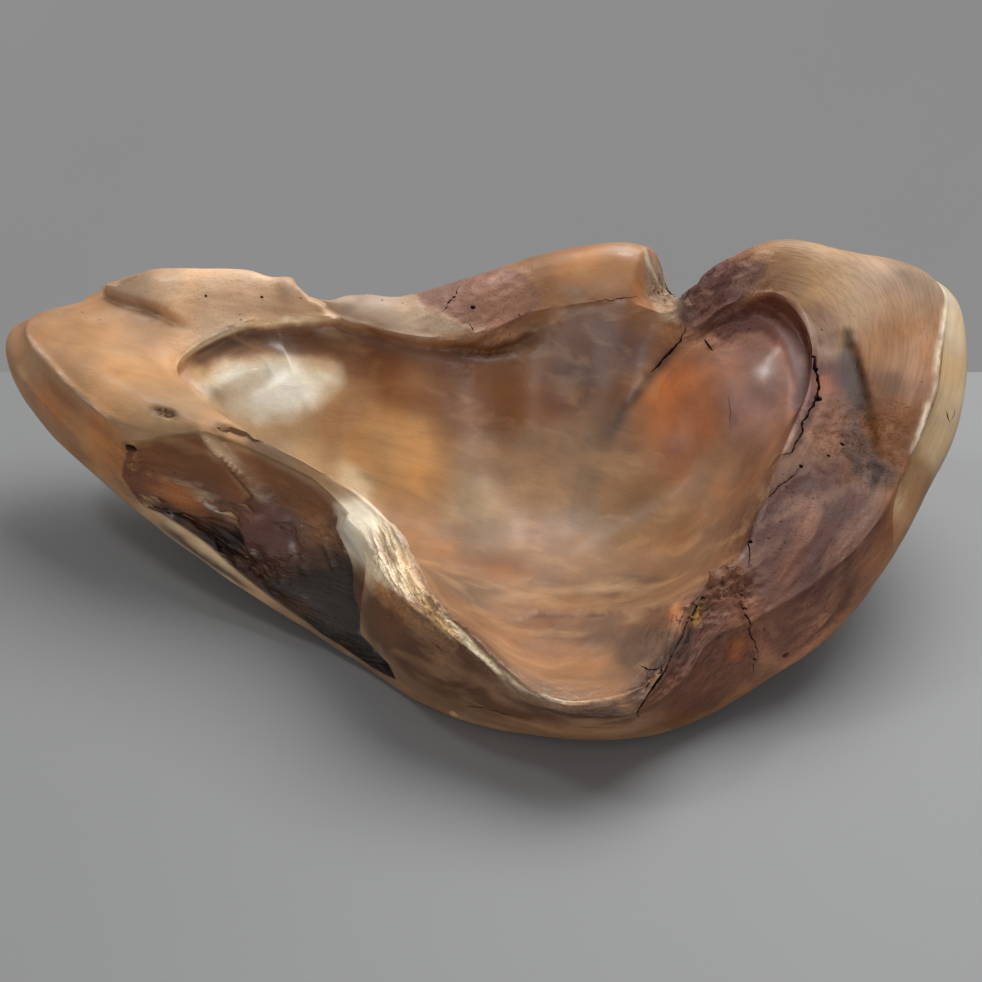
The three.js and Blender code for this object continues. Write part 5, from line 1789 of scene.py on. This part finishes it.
def dressPegs(look):
    # The hidden pegs keep their own solids and get plain dowel wood.
    material = bpy.data.materials.new("pegWood")
    material.use_nodes = True
    tree = material.node_tree
    shader = tree.nodes["Principled BSDF"]
    place = node(tree, "ShaderNodeTexCoord").outputs["Object"]
    grain = scaled(tree, place, look["grainScale"])
    widths = {"Ring_Width": look["ringWidth"], "Fibre_Width": look["fibreWidth"]}
    lines = node(tree, "ShaderNodeGroup", {"node_tree": grainGroup}, Grain=grain, **widths).outputs
    dark, light = ((*linear(colour), 1) for colour in (look["dark"], look["light"]))
    tree.links.new(mixed(tree, "MIX", lines["Fibres"], light, dark), shader.inputs["Base Color"])
    roughness = spread(tree, lines["Mottle"], 0.0, 1.0, *look["roughness"])
    tree.links.new(roughness, shader.inputs["Roughness"])
    for name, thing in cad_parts.items():
        if name.startswith("peg_"):
            thing.data.materials.clear()
            thing.data.materials.append(material)


dressPegs(pegLook)


# Stage

stage = {
    "floorColour": (132, 133, 134),
    "wallColour": (142, 141, 141),
    "wallPlace": 0.215,  # metres behind the middle of the bowl
    "halfWidth": 3000,
    "wallHeight": 2500,
    # name, place in metres, side in metres, power in watts
    "lamps": [
        ("overhead", (0.43, 0.56, 1.25), 1.0, 24.0),
        ("window", (0.2, -1.5, 0.4), 0.34, 5.0),
        ("glint", (-0.69, 0.2, 1.1), 0.16, 2.2),
    ],
    "lampTarget": (0, 0, 0.05),
    "worldColour": (0.84, 0.83, 0.82, 1),
    "worldStrength": 0.4,
}


def plainMaterial(name, colour, roughness):
    material = bpy.data.materials.new(name)
    material.use_nodes = True
    tree = material.node_tree
    shader = tree.nodes["Principled BSDF"]
    cloud = noise(tree, node(tree, "ShaderNodeTexCoord").outputs["Object"], 3.0, 5.0, 0.6)
    pale, deep = ((*linear([value * factor for value in colour]), 1) for factor in (1.02, 0.97))
    tree.links.new(mixed(tree, "MIX", cloud, pale, deep), shader.inputs["Base Color"])
    shader.inputs["Roughness"].default_value = roughness
    return material


def wallMaterial(name, colour):
    # An evenly lit backdrop that can be seen from its front only.
    material = plainMaterial(name, colour, 0.8)
    tree = material.node_tree
    shader = tree.nodes["Principled BSDF"]
    tone = shader.inputs["Base Color"].links[0].from_socket
    glow = node(tree, "ShaderNodeEmission", None, Color=tone, Strength=1.0).outputs[0]
    clear = node(tree, "ShaderNodeBsdfTransparent").outputs[0]
    facing = node(tree, "ShaderNodeNewGeometry").outputs["Backfacing"]
    blend = node(tree, "ShaderNodeMixShader", None, i0=facing, i1=glow, i2=clear)
    tree.links.new(blend.outputs[0], tree.nodes["Material Output"].inputs["Surface"])
    tree.nodes.remove(shader)
    return material


def addStage(settings):
    square = np.array([[0, 1, 2, 3]])
    half, top = settings["halfWidth"], settings["wallHeight"]
    corners = [(-half, -half, 0), (half, -half, 0), (half, half, 0), (-half, half, 0)]
    floor = meshFrom("floor", corners, square)
    floor.data.materials.append(plainMaterial("floorGrey", settings["floorColour"], 0.6))
    far = settings["wallPlace"] / mm
    corners = [(-half, far, 0), (half, far, 0), (half, far, top), (-half, far, top)]
    wall = meshFrom("wall", corners, square)
    wall.data.materials.append(wallMaterial("wallGrey", settings["wallColour"]))
    wall.visible_shadow = False


def addLamp(name, place, target, side, power):
    data = bpy.data.lights.new(name, "AREA")
    data.shape = "RECTANGLE"
    data.size = data.size_y = side
    data.energy = power
    lamp = bpy.data.objects.new(name, data)
    lamp.location = place
    aim = np.array(target) - np.array(place)
    level = math.hypot(aim[0], aim[1])
    lamp.rotation_euler = (math.atan2(level, -aim[2]), 0, math.atan2(-aim[0], aim[1]))
    bpy.context.scene.collection.objects.link(lamp)


def addLights(settings):
    for name, place, side, power in settings["lamps"]:
        addLamp(name, place, settings["lampTarget"], side, power)
    world = bpy.data.worlds.new("room")
    world.use_nodes = True
    background = world.node_tree.nodes["Background"]
    background.inputs["Color"].default_value = settings["worldColour"]
    background.inputs["Strength"].default_value = settings["worldStrength"]
    bpy.context.scene.world = world


addStage(stage)
addLights(stage)
addCamera(photo)
bpy.context.scene.view_settings.view_transform = "Standard"
print("scene ready")
